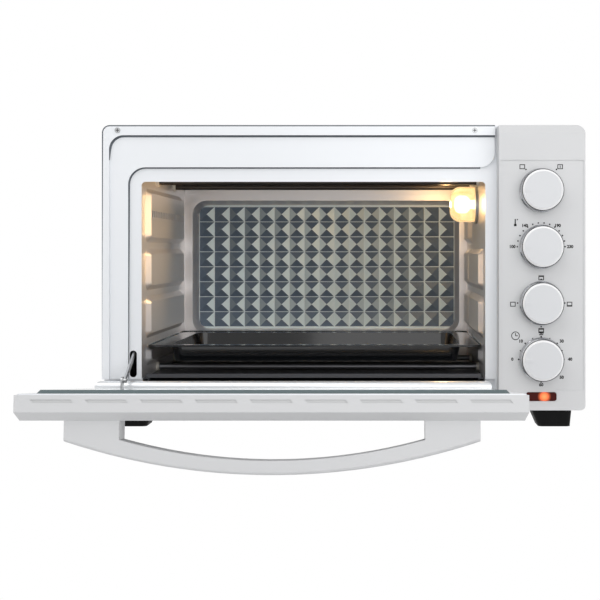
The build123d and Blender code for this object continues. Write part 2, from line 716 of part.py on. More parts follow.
def switch_body(kind, z):
    """A control behind the plate: its case, its bushing and the spindle's bore."""
    back = control_back
    bushing = rod_y(BUSHING_RADIUS, knob_x, back - BUSHING_LENGTH, back, z)
    if kind == "timer":
        case = rod_y(TIMER_CASE_RADIUS, knob_x, back, back + TIMER_CASE_DEPTH, z)
        case += rod_y(TIMER_END_RADIUS, knob_x, back + TIMER_CASE_DEPTH, back + TIMER_DEPTH, z)
    elif kind == "thermostat":
        half = THERMOSTAT_CASE_SIDE / 2
        case = block(knob_x - half, knob_x + half, back, back + THERMOSTAT_CASE_DEPTH, z - half, z + half)
        case += rod_y(THERMOSTAT_END_RADIUS, knob_x, back + THERMOSTAT_CASE_DEPTH, back + THERMOSTAT_DEPTH, z)
    elif kind == "heat_switch":
        case = switch_case(HEAT_SWITCH_WIDTH, HEAT_SWITCH_HEIGHT, HEAT_SWITCH_DEPTH, z)
    else:
        case = switch_case(MODE_SWITCH_WIDTH, MODE_SWITCH_HEIGHT, MODE_SWITCH_DEPTH, z)
    bore = rod_y(SPINDLE_RADIUS + SPINDLE_CLEARANCE, knob_x, back - BUSHING_LENGTH - 1,
                 back + SPINDLE_GRIP + 1, z)
    return case + bushing - bore


def fascia_form(skin):
    """The control fascia's bevelled form, drawn in by a skin."""
    x0 = fascia_left + skin
    x1 = right - skin
    front = fascia_front + skin
    top = fascia_top - skin
    bottom = fascia_bottom + skin
    lean = BEVEL_DEPTH / BEVEL_HEIGHT * skin / 2
    side = beam([(fascia_back, bottom), (front, bottom), (front, top - BEVEL_HEIGHT + lean),
                 (front + BEVEL_DEPTH, top), (fascia_back, top)], x0, x1)
    face = area(x0, x1, bottom, top)
    for x, z, radius in ((x1, top, FASCIA_TOP_CORNER), (x1, bottom, FASCIA_BOTTOM_CORNER),
                         (x0, top, FASCIA_SIDE_CORNER + skin), (x0, bottom, FASCIA_SIDE_CORNER + skin)):
        face = round_corner(face, x, z, max(0.5, radius - skin))
    return side & slab(face, front - 1, fascia_back)


def control_fascia():
    """The moulded panel before the controls."""
    fascia = fascia_form(0) - fascia_form(FASCIA_SKIN)
    inside = area(fascia_left + FASCIA_SKIN, right - FASCIA_SKIN, fascia_bottom + FASCIA_SKIN,
                  fascia_top - FASCIA_SKIN, 1)
    fascia -= slab(inside, fascia_back - 2, fascia_back + 1)
    step = area(fascia_left + FASCIA_STEP_SIDE, right - FASCIA_STEP_SIDE,
                fascia_bottom + FASCIA_LOWER_SECTION, fascia_top - FASCIA_TOP_SECTION, FASCIA_STEP_SIDE)
    fascia -= slab(step, fascia_front - 1, fascia_face)
    for z in knob_places():
        fascia -= rod_y(SPINDLE_HOLE, knob_x, fascia_front - 1, fascia_front + 2 * FASCIA_SKIN, z)
    hole = lens_area(SEAT_GAP / 2)
    return fascia - slab(hole, fascia_front - 1, fascia_front + 2 * FASCIA_SKIN)


def lens_area(grow):
    """The indicator lens from the front."""
    z0 = fascia_bottom + LENS_RISE
    return area(knob_x - LENS_WIDTH / 2 - grow, knob_x + LENS_WIDTH / 2 + grow,
                z0 - grow, z0 + LENS_HEIGHT + grow, LENS_CORNER + grow)


def indicator_lens():
    """The lens, with a rim behind the fascia's skin."""
    back = fascia_front + FASCIA_SKIN
    lens = slab(lens_area(0), fascia_front - LENS_PROUD, back)
    return lens + slab(lens_area(1.2), back, back + 1.2)


def indicator_neon():
    """The neon tube behind the lens."""
    z = fascia_bottom + LENS_RISE + LENS_HEIGHT / 2
    front = fascia_front + FASCIA_SKIN + 1.2
    return rod_y(NEON_RADIUS, knob_x + 3, front, front + NEON_LENGTH, z)


def knob(z):
    """A knob, its chrome ring and its spindle."""
    base = fascia_face - KNOB_GAP
    cap = rod_y(KNOB_RADIUS, knob_x, base - KNOB_HEIGHT, base - 0.3, z)
    rim = cap.faces().sort_by(Axis.Y)[0]
    cap = chamfer(rim.edges(), KNOB_BEVEL)
    start = knob_x - KNOB_RADIUS + POINTER_INSET
    cap += block(start, start + POINTER_LENGTH, base - KNOB_HEIGHT - POINTER_HEIGHT, base - KNOB_HEIGHT + 1,
                 z - POINTER_WIDTH / 2, z + POINTER_WIDTH / 2)
    tip = base - KNOB_HEIGHT + 4
    cap -= rod_y(SPINDLE_RADIUS + SPINDLE_CLEARANCE, knob_x, tip, base + 1, z)
    ring = rod_y(KNOB_RING_RADIUS, knob_x, base - KNOB_RING_HEIGHT, base, z)
    edge = ring.faces().sort_by(Axis.Y)[0]
    ring = chamfer(edge.edges(), KNOB_RING_SLOPE)
    ring -= rod_y(KNOB_RADIUS + SPINDLE_CLEARANCE, knob_x, base - KNOB_RING_HEIGHT - 1, base - 0.3, z)
    ring -= rod_y(KNOB_RADIUS - 4, knob_x, base - 1, base + 1, z)
    spindle = rod_y(SPINDLE_RADIUS, knob_x, tip + SPINDLE_CLEARANCE, control_back + SPINDLE_GRIP, z)
    return cap, ring, spindle


def baking_tray():
    """The enamelled tray on the lowest ribs."""
    x0 = opening_left + TRAY_GAP
    x1 = opening_right - TRAY_GAP
    y1 = TRAY_SETBACK + TRAY_DEPTH
    z0 = opening_bottom + LOWEST_SHELF + SEAT_GAP - TRAY_GAP * math.tan(math.radians(RIB_SLOPE))
    middle = Pos((x0 + x1) / 2, (TRAY_SETBACK + y1) / 2)
    width = x1 - x0
    flange = middle * RectangleRounded(width, TRAY_DEPTH, TRAY_CORNER)
    inside = middle * RectangleRounded(width - 2 * SHEET, TRAY_DEPTH - 2 * SHEET, TRAY_CORNER - SHEET)
    top = z0 + SHEET
    down = Plane(origin=((x0 + x1) / 2, (TRAY_SETBACK + y1) / 2, top), x_dir=(1, 0, 0), z_dir=(0, 0, -1))
    pan_width = width - 2 * TRAY_FLANGE
    pan_depth = TRAY_DEPTH - 2 * TRAY_FLANGE
    outer = extrude(down * RectangleRounded(pan_width + 2 * SHEET, pan_depth + 2 * SHEET, TRAY_CORNER + SHEET),
                    amount=TRAY_PAN_DEPTH + SHEET, taper=TRAY_DRAFT)
    inner = extrude(down * RectangleRounded(pan_width, pan_depth, TRAY_CORNER),
                    amount=TRAY_PAN_DEPTH, taper=TRAY_DRAFT)
    tray = extrude(Pos(0, 0, z0) * flange, amount=SHEET + TRAY_RIM)
    tray -= extrude(Pos(0, 0, top) * inside, amount=TRAY_RIM + 1)
    return tray + outer - inner


def crumb_tray():
    """The thin tray under the lower heaters, with its front lip."""
    x0 = opening_left + CRUMB_LEDGE / 2 + SEAT_GAP
    x1 = opening_right - CRUMB_LEDGE / 2 - SEAT_GAP
    z0 = opening_bottom + CRUMB_RISE
    tray = block(x0, x1, CRUMB_SETBACK, cavity_rear - 2 * TRAY_GAP, z0, z0 + CRUMB_SHEET)
    top = z0 + CRUMB_LIP
    tray += block(x0, x1, CRUMB_SETBACK, CRUMB_SETBACK + CRUMB_SHEET, z0, top)
    return tray + block(x0, x1, CRUMB_SETBACK, CRUMB_SETBACK + 3, top - CRUMB_SHEET, top)


def door_form(skin):
    """The door casing's form, bevelled at the top and both ends, drawn in by a skin."""
    front = door_outer + skin
    top = door_top - skin
    bottom = door_bottom + skin
    x0 = door_left + skin
    x1 = door_right - skin
    side = beam([(panel_front, bottom), (front + 3, bottom), (front, bottom + 3), (front, top - BEVEL_HEIGHT),
                 (front + BEVEL_DEPTH, top), (panel_front, top)], x0, x1)
    above = Plane(origin=(0, 0, bottom), x_dir=(1, 0, 0), z_dir=(0, 0, 1))
    plan = Polyline((x0, panel_front), (x0, front + BEVEL_DEPTH), (x0 + DOOR_SIDE_BEVEL, front),
                    (x1 - DOOR_SIDE_BEVEL, front), (x1, front + BEVEL_DEPTH), (x1, panel_front), close=True)
    return side & extrude(above * make_face(plan), amount=top - bottom)


def window_area(grow):
    """The door's window from the front, grown by a margin."""
    return area(door_left + WINDOW_SIDE - grow, door_right - WINDOW_SIDE + grow,
                door_bottom + WINDOW_BOTTOM - grow, door_top - WINDOW_TOP + grow, WINDOW_CORNER)


def hinge_notches():
    """What the hinge arms and pins need cut from the door."""
    reach = HINGE_ARM_RADIUS + NOTCH_CLEARANCE
    cuts = []
    for x in hinge_places().values():
        cuts.append(block(x - NOTCH_CLEARANCE, x + HINGE_ARM_THICKNESS + NOTCH_CLEARANCE,
                          hinge_y - reach, door_inner + RAIL_PROUD + 1, door_bottom - 1, hinge_z + reach))
    return cuts


def hinge_pin(x):
    """A hinge pin through one arm."""
    middle = x + HINGE_ARM_THICKNESS / 2
    half = HINGE_PIN_LENGTH / 2
    return rod_x(HINGE_PIN_RADIUS, middle - half, middle + half, hinge_y, hinge_z)


def handle_screw_places():
    """The middle of each handle screw, two in each post."""
    middle = (door_left + door_right) / 2
    z = door_top - HANDLE_TOP_INSET - HANDLE_DEPTH / 2
    offset = HANDLE_LENGTH / 2 - HANDLE_POST / 2
    places = []
    for side in (-1, 1):
        for step in (-HANDLE_POST / 4, HANDLE_POST / 4):
            places.append((middle + side * offset + step, z))
    return places


def door_casing():
    """The door's outer casing with window, hinge bosses and vent slots in its top edge."""
    casing = door_form(0) - door_form(DOOR_SKIN)
    casing -= slab(area(door_left + DOOR_SKIN, door_right - DOOR_SKIN, door_bottom + DOOR_SKIN,
                        door_top - DOOR_SKIN), panel_front - DOOR_SKIN, 0)
    boss_height = hinge_z + HINGE_ARM_RADIUS + 2 * DOOR_SKIN
    for x in hinge_places().values():
        middle = x + HINGE_ARM_THICKNESS / 2
        half = HINGE_PIN_LENGTH / 2 + DOOR_SKIN
        casing += block(middle - half, middle + half, door_outer + 1, panel_front,
                        door_bottom + 1, boss_height)
    casing &= door_form(0)
    frame_wall = slab(window_area(DOOR_SKIN), door_outer + DOOR_SKIN, panel_front)
    casing += frame_wall
    casing += slab(window_area(WINDOW_LAP + DOOR_SKIN), door_outer, door_outer + GLASS_THICKNESS + DOOR_SKIN)
    casing -= slab(window_area(0), door_outer - 1, panel_front + 1)
    casing -= slab(window_area(WINDOW_LAP), door_outer - 1, door_outer + GLASS_THICKNESS)
    for x in hinge_places().values():
        middle = x + HINGE_ARM_THICKNESS / 2
        casing -= rod_x(HINGE_PIN_RADIUS + PIN_CLEARANCE, middle - HINGE_PIN_LENGTH / 2,
                        middle + HINGE_PIN_LENGTH / 2, hinge_y, hinge_z)
    for notch in hinge_notches():
        casing -= notch
    for x, z in handle_screw_places():
        casing -= rod_y(HANDLE_SCREW_RADIUS + PIN_CLEARANCE, x, door_outer - 1,
                        door_outer + DOOR_SKIN + 1, z)
    return casing - door_vents()


def door_vents():
    """The row of slanted slots through the casing's top edge."""
    middle = (door_left + door_right) / 2
    above = Plane(origin=(0, 0, door_top - 2 * DOOR_SKIN), x_dir=(1, 0, 0), z_dir=(0, 0, 1))
    y1 = door_inner - VENT_INSET
    y0 = y1 - VENT_WIDTH
    cuts = []
    for index in range(VENT_COUNT):
        x = middle + (index - (VENT_COUNT - 1) / 2) * VENT_PITCH
        half = VENT_LENGTH / 2
        shape = Polyline((x - half, y1), (x + half - VENT_SLANT, y1), (x + half, y0),
                         (x - half + VENT_SLANT, y0), close=True)
        cuts.append(extrude(above * make_face(shape), amount=3 * DOOR_SKIN))
    return Compound(cuts)


def door_window():
    """The outer glass, seated in the casing."""
    return slab(window_area(WINDOW_LAP - SEAT_GAP), door_outer, door_outer + GLASS_THICKNESS)


def door_inner_panel():
    """The steel sheet that closes the casing, with its window."""
    panel = slab(area(door_left + INNER_PANEL_INSET, door_right - INNER_PANEL_INSET,
                      door_bottom + INNER_PANEL_INSET, door_top - INNER_PANEL_INSET, 3),
                 panel_front, door_inner)
    panel -= slab(window_area(0), panel_front - 1, 1)
    for notch in hinge_notches():
        panel -= notch
    return panel


def door_inner_glass():
    """The bevelled inner pane on the steel sheet."""
    width = door_right - door_left - 2 * INNER_GLASS_SIDE
    height = door_top - INNER_GLASS_TOP - door_bottom - INNER_GLASS_RISE
    middle_x = (door_left + door_right) / 2
    middle_z = door_bottom + INNER_GLASS_RISE + height / 2
    back = Plane(origin=(middle_x, door_inner, middle_z), x_dir=(-1, 0, 0), z_dir=(0, 1, 0))
    pane = RectangleRounded(width, height, INNER_GLASS_CORNER)
    return extrude(back * pane, amount=GLASS_THICKNESS, taper=45)


def door_bottom_rail():
    """The rounded rail along the hinge side of the door."""
    z0 = hinge_z - RAIL_DROP
    z1 = z0 + RAIL_HEIGHT
    rail = block(door_left, door_right - RAIL_SHORT, door_inner, door_inner + RAIL_PROUD, z0, z1)
    face = rail.faces().sort_by(Axis.Y)[-1]
    rail = fillet(face.edges(), RAIL_RADIUS)
    for notch in hinge_notches():
        rail -= notch
    return rail


def door_handle():
    """The bowed handle with its two posts."""
    middle = (door_left + door_right) / 2
    half = HANDLE_LENGTH / 2
    inner_half = half - HANDLE_POST
    z1 = door_top - HANDLE_TOP_INSET
    z0 = z1 - HANDLE_DEPTH
    plan = Plane(origin=(middle, door_outer, z0), x_dir=(1, 0, 0), z_dir=(0, 0, 1))
    outer = ThreePointArc((-half, -HANDLE_END_REACH), (0, -HANDLE_REACH), (half, -HANDLE_END_REACH))
    body = make_face(outer + Polyline((half, -HANDLE_END_REACH), (half, 0), (-half, 0),
                                      (-half, -HANDLE_END_REACH)))
    inner = ThreePointArc((-inner_half, -HANDLE_INNER_END), (0, -HANDLE_INNER_REACH),
                          (inner_half, -HANDLE_INNER_END))
    gap = make_face(inner + Polyline((inner_half, -HANDLE_INNER_END), (inner_half, 1), (-inner_half, 1),
                                     (-inner_half, -HANDLE_INNER_END)))
    solid = extrude(plan * body, amount=HANDLE_DEPTH)
    long_edges = solid.faces().filter_by(GeomType.CYLINDER).edges().filter_by(GeomType.CIRCLE)
    solid = fillet(long_edges, HANDLE_EDGE)
    solid -= extrude(plan * gap, amount=HANDLE_DEPTH)
    for x, z in handle_screw_places():
        solid -= rod_y(HANDLE_SCREW_RADIUS + PIN_CLEARANCE, x, door_outer - HANDLE_SCREW_GRIP - 1,
                       door_outer, z)
    return solid


def handle_screws():
    """The four screws that hold the handle from inside the casing."""
    skin = door_outer + DOOR_SKIN
    pieces = []
    for x, z in handle_screw_places():
        shank = rod_y(HANDLE_SCREW_RADIUS, x, door_outer - HANDLE_SCREW_GRIP, skin, z)
        pieces.append(shank + rod_y(HANDLE_SCREW_HEAD, x, skin, skin + 2.5, z))
    return pieces


def link_pivot():
    """The stay link's pivot on the shut door, as (Y, Z)."""
    return door_inner + LINK_PIVOT_REACH, hinge_z + LINK_PIVOT_RISE


def link_ear():
    """The door's ear and pin for the stay link, on the shut door."""
    y, z = link_pivot()
    x0 = link_x - LINK_SLOT_WIDTH / 2 + EAR_INSET
    x1 = x0 + EAR_THICKNESS
    ear = block(x0, x1, door_inner, y, z - EAR_RADIUS, z + EAR_RADIUS) + rod_x(EAR_RADIUS, x0, x1, y, z)
    far = x1 + 2 * LINK_GAP + LINK_THICKNESS
    return ear + rod_x(LINK_PIN_RADIUS, x1, far, y, z) + rod_x(LINK_PIN_RADIUS + 1, far, far + 0.8, y, z)


def stay_link():
    """The flat link from the ear through the slot, with the door open."""
    y, z = opened_point(*link_pivot())
    x0 = link_x - LINK_SLOT_WIDTH / 2 + EAR_INSET + EAR_THICKNESS + LINK_GAP
    x1 = x0 + LINK_THICKNESS
    bar = block(x0, x1, 0, LINK_LENGTH, -LINK_WIDTH / 2, LINK_WIDTH / 2)
    bar += rod_x(LINK_WIDTH / 2, x0, x1, 0, 0) + rod_x(LINK_HOOK_RADIUS, x0, x1, LINK_LENGTH, 0)
    bar -= rod_x(LINK_PIN_RADIUS + PIN_CLEARANCE, x0 - 1, x1 + 1, 0, 0)
    bar -= rod_x(LINK_PIN_RADIUS, x0 - 1, x1 + 1, LINK_LENGTH, 0)
    return Pos(0, y, z) * Rot(LINK_ANGLE, 0, 0) * bar


def hinge_bracket(x):
    """A hinge arm with its root behind the front frame's trough."""
    x1 = x + HINGE_ARM_THICKNESS
    seat = cabinet_bottom + (SHEET if x < left + COVER_FLANGE + SHEET else 0)
    arm = block(x, x1, hinge_y, frame_depth + HINGE_ROOT,
                hinge_z - HINGE_ARM_RADIUS, hinge_z + HINGE_ARM_RADIUS)
    arm += rod_x(HINGE_ARM_RADIUS, x, x1, hinge_y, hinge_z)
    arm += block(x, x1, frame_depth + SEAT_GAP, frame_depth + HINGE_ROOT, seat, opening_bottom - 2 * SHEET)
    arm += block(x, x + HINGE_ROOT, frame_depth + SEAT_GAP, frame_depth + HINGE_ROOT,
                 seat, seat + 2 * SHEET)
    return arm - rod_x(HINGE_PIN_RADIUS + PIN_CLEARANCE, x - 1, x1 + 1, hinge_y, hinge_z)


def all_nodes():
    """Every node by name, in its place at rest."""
    nodes = {
        "outer_cover": outer_cover(),
        "rear_panel": rear_panel(),
        "base_panel": base_panel(),
        "front_frame": front_frame(),
        "control_fascia": control_fascia(),
        "indicator_lens": indicator_lens(),
        "indicator_neon": indicator_neon(),
        "cavity_left_wall": cavity_left_wall(),
        "cavity_right_wall": cavity_right_wall(),
        "cavity_roof": cavity_roof(),
        "cavity_floor": cavity_floor(),
        "cavity_back": cavity_back(),
        "diamond_plate": diamond_plate(),
        "heater_insulators": heater_insulators(),
        "heat_shield": heat_shield(),
        "control_plate": control_plate(),
        "frame_screws": frame_screws(),
        "cover_screws": cover_screws(),
        "cord_inlet": cord_inlet(),
        "baking_tray": baking_tray(),
        "crumb_tray": crumb_tray(),
        "stay_link": stay_link(),
    }
    for name, place in heater_places().items():
        nodes[name] = heater(place)
    nodes.update(lamp_pieces())
    rear_foot = rear - FOOT_SETBACK - FOOT_TOP
    for name, side, y0 in (("front_left_foot", -1, FOOT_SETBACK), ("front_right_foot", 1, FOOT_SETBACK),
                           ("rear_left_foot", -1, rear_foot), ("rear_right_foot", 1, rear_foot)):
        nodes[name] = foot(side, y0)
    controls = ("timer", "heat_switch", "thermostat", "mode_switch")
    for kind, z in zip(controls, knob_places()):
        cap, ring, spindle = knob(z)
        nodes[kind] = switch_body(kind, z)
        nodes[f"{kind}_knob"] = cap
        nodes[f"{kind}_knob_ring"] = ring
        nodes[f"{kind}_spindle"] = spindle
    places = hinge_places()
    for side, x in places.items():
        nodes[f"{side}_hinge_bracket"] = hinge_bracket(x)
    shut = {
        "door_casing": door_casing(),
        "door_window": door_window(),
        "door_inner_panel": door_inner_panel(),
        "door_inner_glass": door_inner_glass(),
        "door_bottom_rail": door_bottom_rail(),
        "door_handle": door_handle(),
        "handle_screws": handle_screws(),
        "hinge_pins": [hinge_pin(x) for x in places.values()],
        "link_ear": link_ear(),
    }
    for name, piece in shut.items():
        nodes[name] = [open_door(one) for one in piece] if isinstance(piece, list) else open_door(piece)
    return nodes


def main():
    """Centres the oven over the origin and writes one file for each node."""
    os.makedirs("parts", exist_ok=True)
    nodes = {name: Compound(piece) if isinstance(piece, list) else piece for name, piece in all_nodes().items()}
    boxes = [piece.bounding_box() for piece in nodes.values()]
    middle_x = (min(box.min.X for box in boxes) + max(box.max.X for box in boxes)) / 2
    middle_y = (min(box.min.Y for box in boxes) + max(box.max.Y for box in boxes)) / 2
    print("shift", round(-middle_x, 3), round(-middle_y, 3))
    for name, piece in nodes.items():
        export_step(Pos(-middle_x, -middle_y, 0) * piece, f"parts/{name}.step")


main()
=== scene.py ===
"""Finishes, prints, small fittings and a plain studio for a countertop mini oven with its door open."""
import json
import math

import bmesh
import bpy
from bpy.props import FloatProperty, FloatVectorProperty, PointerProperty
from mathutils import Matrix, Vector


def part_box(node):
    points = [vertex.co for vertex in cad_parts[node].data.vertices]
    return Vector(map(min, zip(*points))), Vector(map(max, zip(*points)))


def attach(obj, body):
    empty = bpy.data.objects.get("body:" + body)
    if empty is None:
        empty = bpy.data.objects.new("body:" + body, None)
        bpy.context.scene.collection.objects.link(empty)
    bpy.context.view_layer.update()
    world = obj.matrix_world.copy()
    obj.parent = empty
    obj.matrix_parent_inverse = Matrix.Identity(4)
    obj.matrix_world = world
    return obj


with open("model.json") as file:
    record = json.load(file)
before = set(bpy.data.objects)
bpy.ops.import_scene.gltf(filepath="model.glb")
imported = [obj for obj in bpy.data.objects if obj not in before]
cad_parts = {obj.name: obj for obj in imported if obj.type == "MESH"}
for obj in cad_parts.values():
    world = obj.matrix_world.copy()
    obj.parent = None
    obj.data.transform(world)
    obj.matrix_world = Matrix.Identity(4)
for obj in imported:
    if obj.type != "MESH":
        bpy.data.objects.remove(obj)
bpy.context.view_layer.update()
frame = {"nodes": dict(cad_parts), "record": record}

bl_info = {
    "name": "Mini Oven",
    "version": (1, 0, 0),
    "blender": (4, 5, 0),
    "location": "View3D > Sidebar > Mini Oven",
    "description": "Dresses a countertop mini oven with an open drop-down door",
    "category": "Object",
}

MM = 0.001
KNOBS = ("mode_switch", "thermostat", "heat_switch", "timer")

# The front frame's steps: an outer rim, then a band, each with a rounded corner
RIM_SIDE = 7.4 * MM
RIM_TOP = 10.5 * MM
RIM_CORNER = 15.0 * MM
BAND_SIDE = 26.7 * MM
BAND_TOP = 43.7 * MM
BAND_DEPTH = 3.0 * MM
INNER_CORNER = 18.0 * MM
CABINET_CORNER = 8.0 * MM
FRAME_END_GAP = 2.1 * MM

# The strips that round those steps, most of them dark with painted shade, and the hem, a dark strip of
# painted shade
OUTER_BEND_WIDTH = 2.0 * MM
OUTER_BEND_DROP = 26 * MM
INNER_BEND_WIDTH = 1.4 * MM
INNER_BEND_RISE = 30 * MM
END_BEND_WIDTH = 1.2 * MM
END_BEND_CORNER = RIM_CORNER * 0.99
END_BEND_STOP = 1.0 * MM
HEM_WIDTH = 1.3 * MM
HEM_THICKNESS = 0.1 * MM
HEM_RISE = 31 * MM
BEND_FADE = 14.0 * MM
BEND_START = 0.05
BEND_STEPS = 5
CORNER_STEPS = 8

# A thin dark ring round a knob's cap, a ring of round section, painted shade for the dark edge round the
# cap
SHADE_RING_RADIUS = 0.85 * MM
SHADE_RING_DEPTH = 3.2 * MM
SHADE_RING_SIDES = 64
SHADE_RING_SECTION_SIDES = 10

# The floor in the door's vent slots, placed with the door shut
VENT_FROM_FRAME = 6.7 * MM
VENT_DROP = 1.9 * MM
VENT_END_ROOM = 16 * MM
VENT_FLOOR_WIDTH = 4.4 * MM
VENT_FLOOR_DEPTH = 1.6 * MM

# The prints, each placed from its knob's middle
FASCIA_FACE_STEP = 0.8 * MM
DOT_SIDES = 16
TEXT_WEIGHT = 0.05
TEXT_CURVE_STEPS = 3
SYMBOL_RATIO = 0.88
THICK_LINE = 1.9
MODE_DOT_RING = 26.6 * MM
MODE_DOT_ANGLE = 54
MODE_SYMBOL_SIDE = 19.4 * MM
MODE_SYMBOL_UP = 24.3 * MM
MODE_TICK_WIDTH = 0.8 * MM
MODE_TICK_HEIGHT = 2.4 * MM
HEAT_DOTS = 14
THERMOMETER_SIDE = -26.6 * MM
THERMOMETER_UP = 25.0 * MM
CHOICE_DOT_RING = 24.2 * MM
CHOICE_RING_SIDE = 29.0 * MM
CHOICE_RING_UP = 27.0 * MM
CHOICE_DROP = 1.2 * MM
TIME_DOT_RING = 23.2 * MM
CLOCK_SIDE = -26.3 * MM
CLOCK_UP = 24.1 * MM
CLOCK_RADIUS = 4.4 * MM
CLOCK_STEPS = 32
LONG_HAND = 0.65
SHORT_HAND = 0.55

# The crosses of painted shade in the frame screws: reach and half width are shares of the head's radius
SCREW_RADIUS = 3.0 * MM
CROSS_REACH = 0.6
CROSS_HALF_WIDTH = 0.12

# A colour mix node's sockets: its first and second colour, and its result
MIX_FIRST = 6
MIX_SECOND = 7
MIX_RESULT = 2

# The stage: lengths in metres, the beam's angle in degrees and the camera's sensor in millimetres
FLOOR_HALF = 4.0
KEY_SIZE = 1.2
KEY_SIDE = -0.5
KEY_BEFORE = 0.9
KEY_UP = 1.4
FILL_SIZE = 1.6
FILL_SIDE = 0.6
FILL_BEFORE = 1.5
FILL_UP = 0.5
LAMP_GAP = 4 * MM
LAMP_SOFTNESS = 4 * MM
BEAM_SOFTNESS = 10 * MM
BEAM_ANGLE = 50
BEAM_AIM_FORWARD = 70 * MM
BEAM_AIM_DOWN = 20 * MM
SENSOR_WIDTH = 36.0


def colour(name, default, words):
    """A colour setting."""
    return FloatVectorProperty(name=name, description=words, default=default, subtype="COLOR",
                               min=0.0, max=1.0)


def length(name, default, words):
    """A length setting in metres."""
    return FloatProperty(name=name, description=words, default=default, unit="LENGTH", min=0.0, precision=5)


class OvenFinishSettings(bpy.types.PropertyGroup):
    """Colours of the oven's finishes."""
    panel: colour("Panel", (0.60, 0.605, 0.615), "Moulded panel, door and handle")
    front: colour("Front", (0.86, 0.88, 0.91), "Pressed front frame")
    cover: colour("Cover", (0.70, 0.71, 0.72), "Sheet steel of the top and sides")
    knob: colour("Knob", (0.68, 0.69, 0.71), "Knob caps")
    cavity: colour("Cavity", (0.84, 0.82, 0.82), "Cavity sheets")
    # The back plate's facets: painted shade, and painted light for the facets that turn towards the light
    shaded_facet: colour("Shaded Facets", (0.15, 0.21, 0.29), "Dark facets of the back plate")
    lit_facet: colour("Lit Facets", (0.82, 0.97, 1.0), "Bright facets of the back plate")
    glow: colour("Glow", (1.0, 0.62, 0.26), "Warm light of the oven lamp")
    grain_scale: FloatProperty(name="Grain scale", description="Fineness of the satin grain",
                               default=900.0, min=1.0)


class OvenPrintSettings(bpy.types.PropertyGroup):
    """Sizes of the prints round the knobs."""
    dot_radius: length("Dot radius", 0.00082, "Radius of a main dot")
    small_dot_radius: length("Small dot radius", 0.00058, "Radius of a dot between main dots")
    dot_ring: length("Dot ring", 0.0245, "Radius of the ring of dots")
    text_size: length("Text size", 0.0043, "Height of the numbers' line")
    text_ring: length("Text ring", 0.0296, "Distance of the side numbers from the knob's middle")
    text_ring_up: length("Text ring up", 0.0262, "Distance of the top numbers from the knob's middle")
    symbol_size: length("Symbol size", 0.0056, "Width of a box symbol")
    ink_height: length("Ink height", 0.00008, "Thickness of the print")
    line_width: length("Line width", 0.0008, "Width of a symbol's line")


class OvenStageSettings(bpy.types.PropertyGroup):
    """The studio and the camera."""
    camera_distance: length("Camera distance", 1.25, "From the rim of the front frame")
    camera_height: length("Camera height", 0.1838, "Above the table")
    camera_side: length("Camera side", 0.0428, "To the right of the cabinet's middle")
    focal_length: FloatProperty(name="Focal length", description="In millimetres on a 36 mm sensor",
                                default=72.0)
    shift_x: FloatProperty(name="Shift X", description="Sideways shift of the view", default=-83 / 600)
    shift_y: FloatProperty(name="Shift Y", description="Upward shift of the view", default=-48 / 600)
    world_strength: FloatProperty(name="World strength", description="Even light from all round",
                                  default=0.66)
    key_power: FloatProperty(name="Key power", description="Large light above the front", default=7.0)
    fill_power: FloatProperty(name="Fill power", description="Large light before the front", default=9.5)
    lamp_power: FloatProperty(name="Lamp power", description="Oven lamp, all round", default=0.16)
    beam_power: FloatProperty(name="Beam power", description="Oven lamp, towards the left wall",
                              default=2.6)


class OvenSettings(bpy.types.PropertyGroup):
    """All settings of the oven."""
    finish: PointerProperty(type=OvenFinishSettings)
    prints: PointerProperty(type=OvenPrintSettings)
    stage: PointerProperty(type=OvenStageSettings)


def settings():
    """The scene's oven settings."""
    return bpy.context.scene.mini_oven


def low(node):
    """The lowest corner of a node."""
    return Vector(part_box(node)[0])


def high(node):
    """The highest corner of a node."""
    return Vector(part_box(node)[1])


def middle(node):
    """The middle of a node's box."""
    return (low(node) + high(node)) / 2


def new_group(name, inputs, outputs, tree_type="ShaderNodeTree"):
    """An empty node group with its named sockets, and its input and output nodes."""
    group = bpy.data.node_groups.new(name, tree_type)
    for direction, sockets in (("INPUT", inputs), ("OUTPUT", outputs)):
        for label, kind in sockets:
            group.interface.new_socket(label, in_out=direction, socket_type=f"NodeSocket{kind}")
    return group, group.nodes.new("NodeGroupInput"), group.nodes.new("NodeGroupOutput")


def math_node(nodes, operation):
    """A math node of one operation."""
    node = nodes.new("ShaderNodeMath")
    node.operation = operation
    return node


def vector_node(nodes, operation):
    """A vector math node of one operation."""
    node = nodes.new("ShaderNodeVectorMath")
    node.operation = operation
    return node


def colour_mix(nodes):
    """A node that mixes two colours."""
    node = nodes.new("ShaderNodeMix")
    node.data_type = "RGBA"
    return node


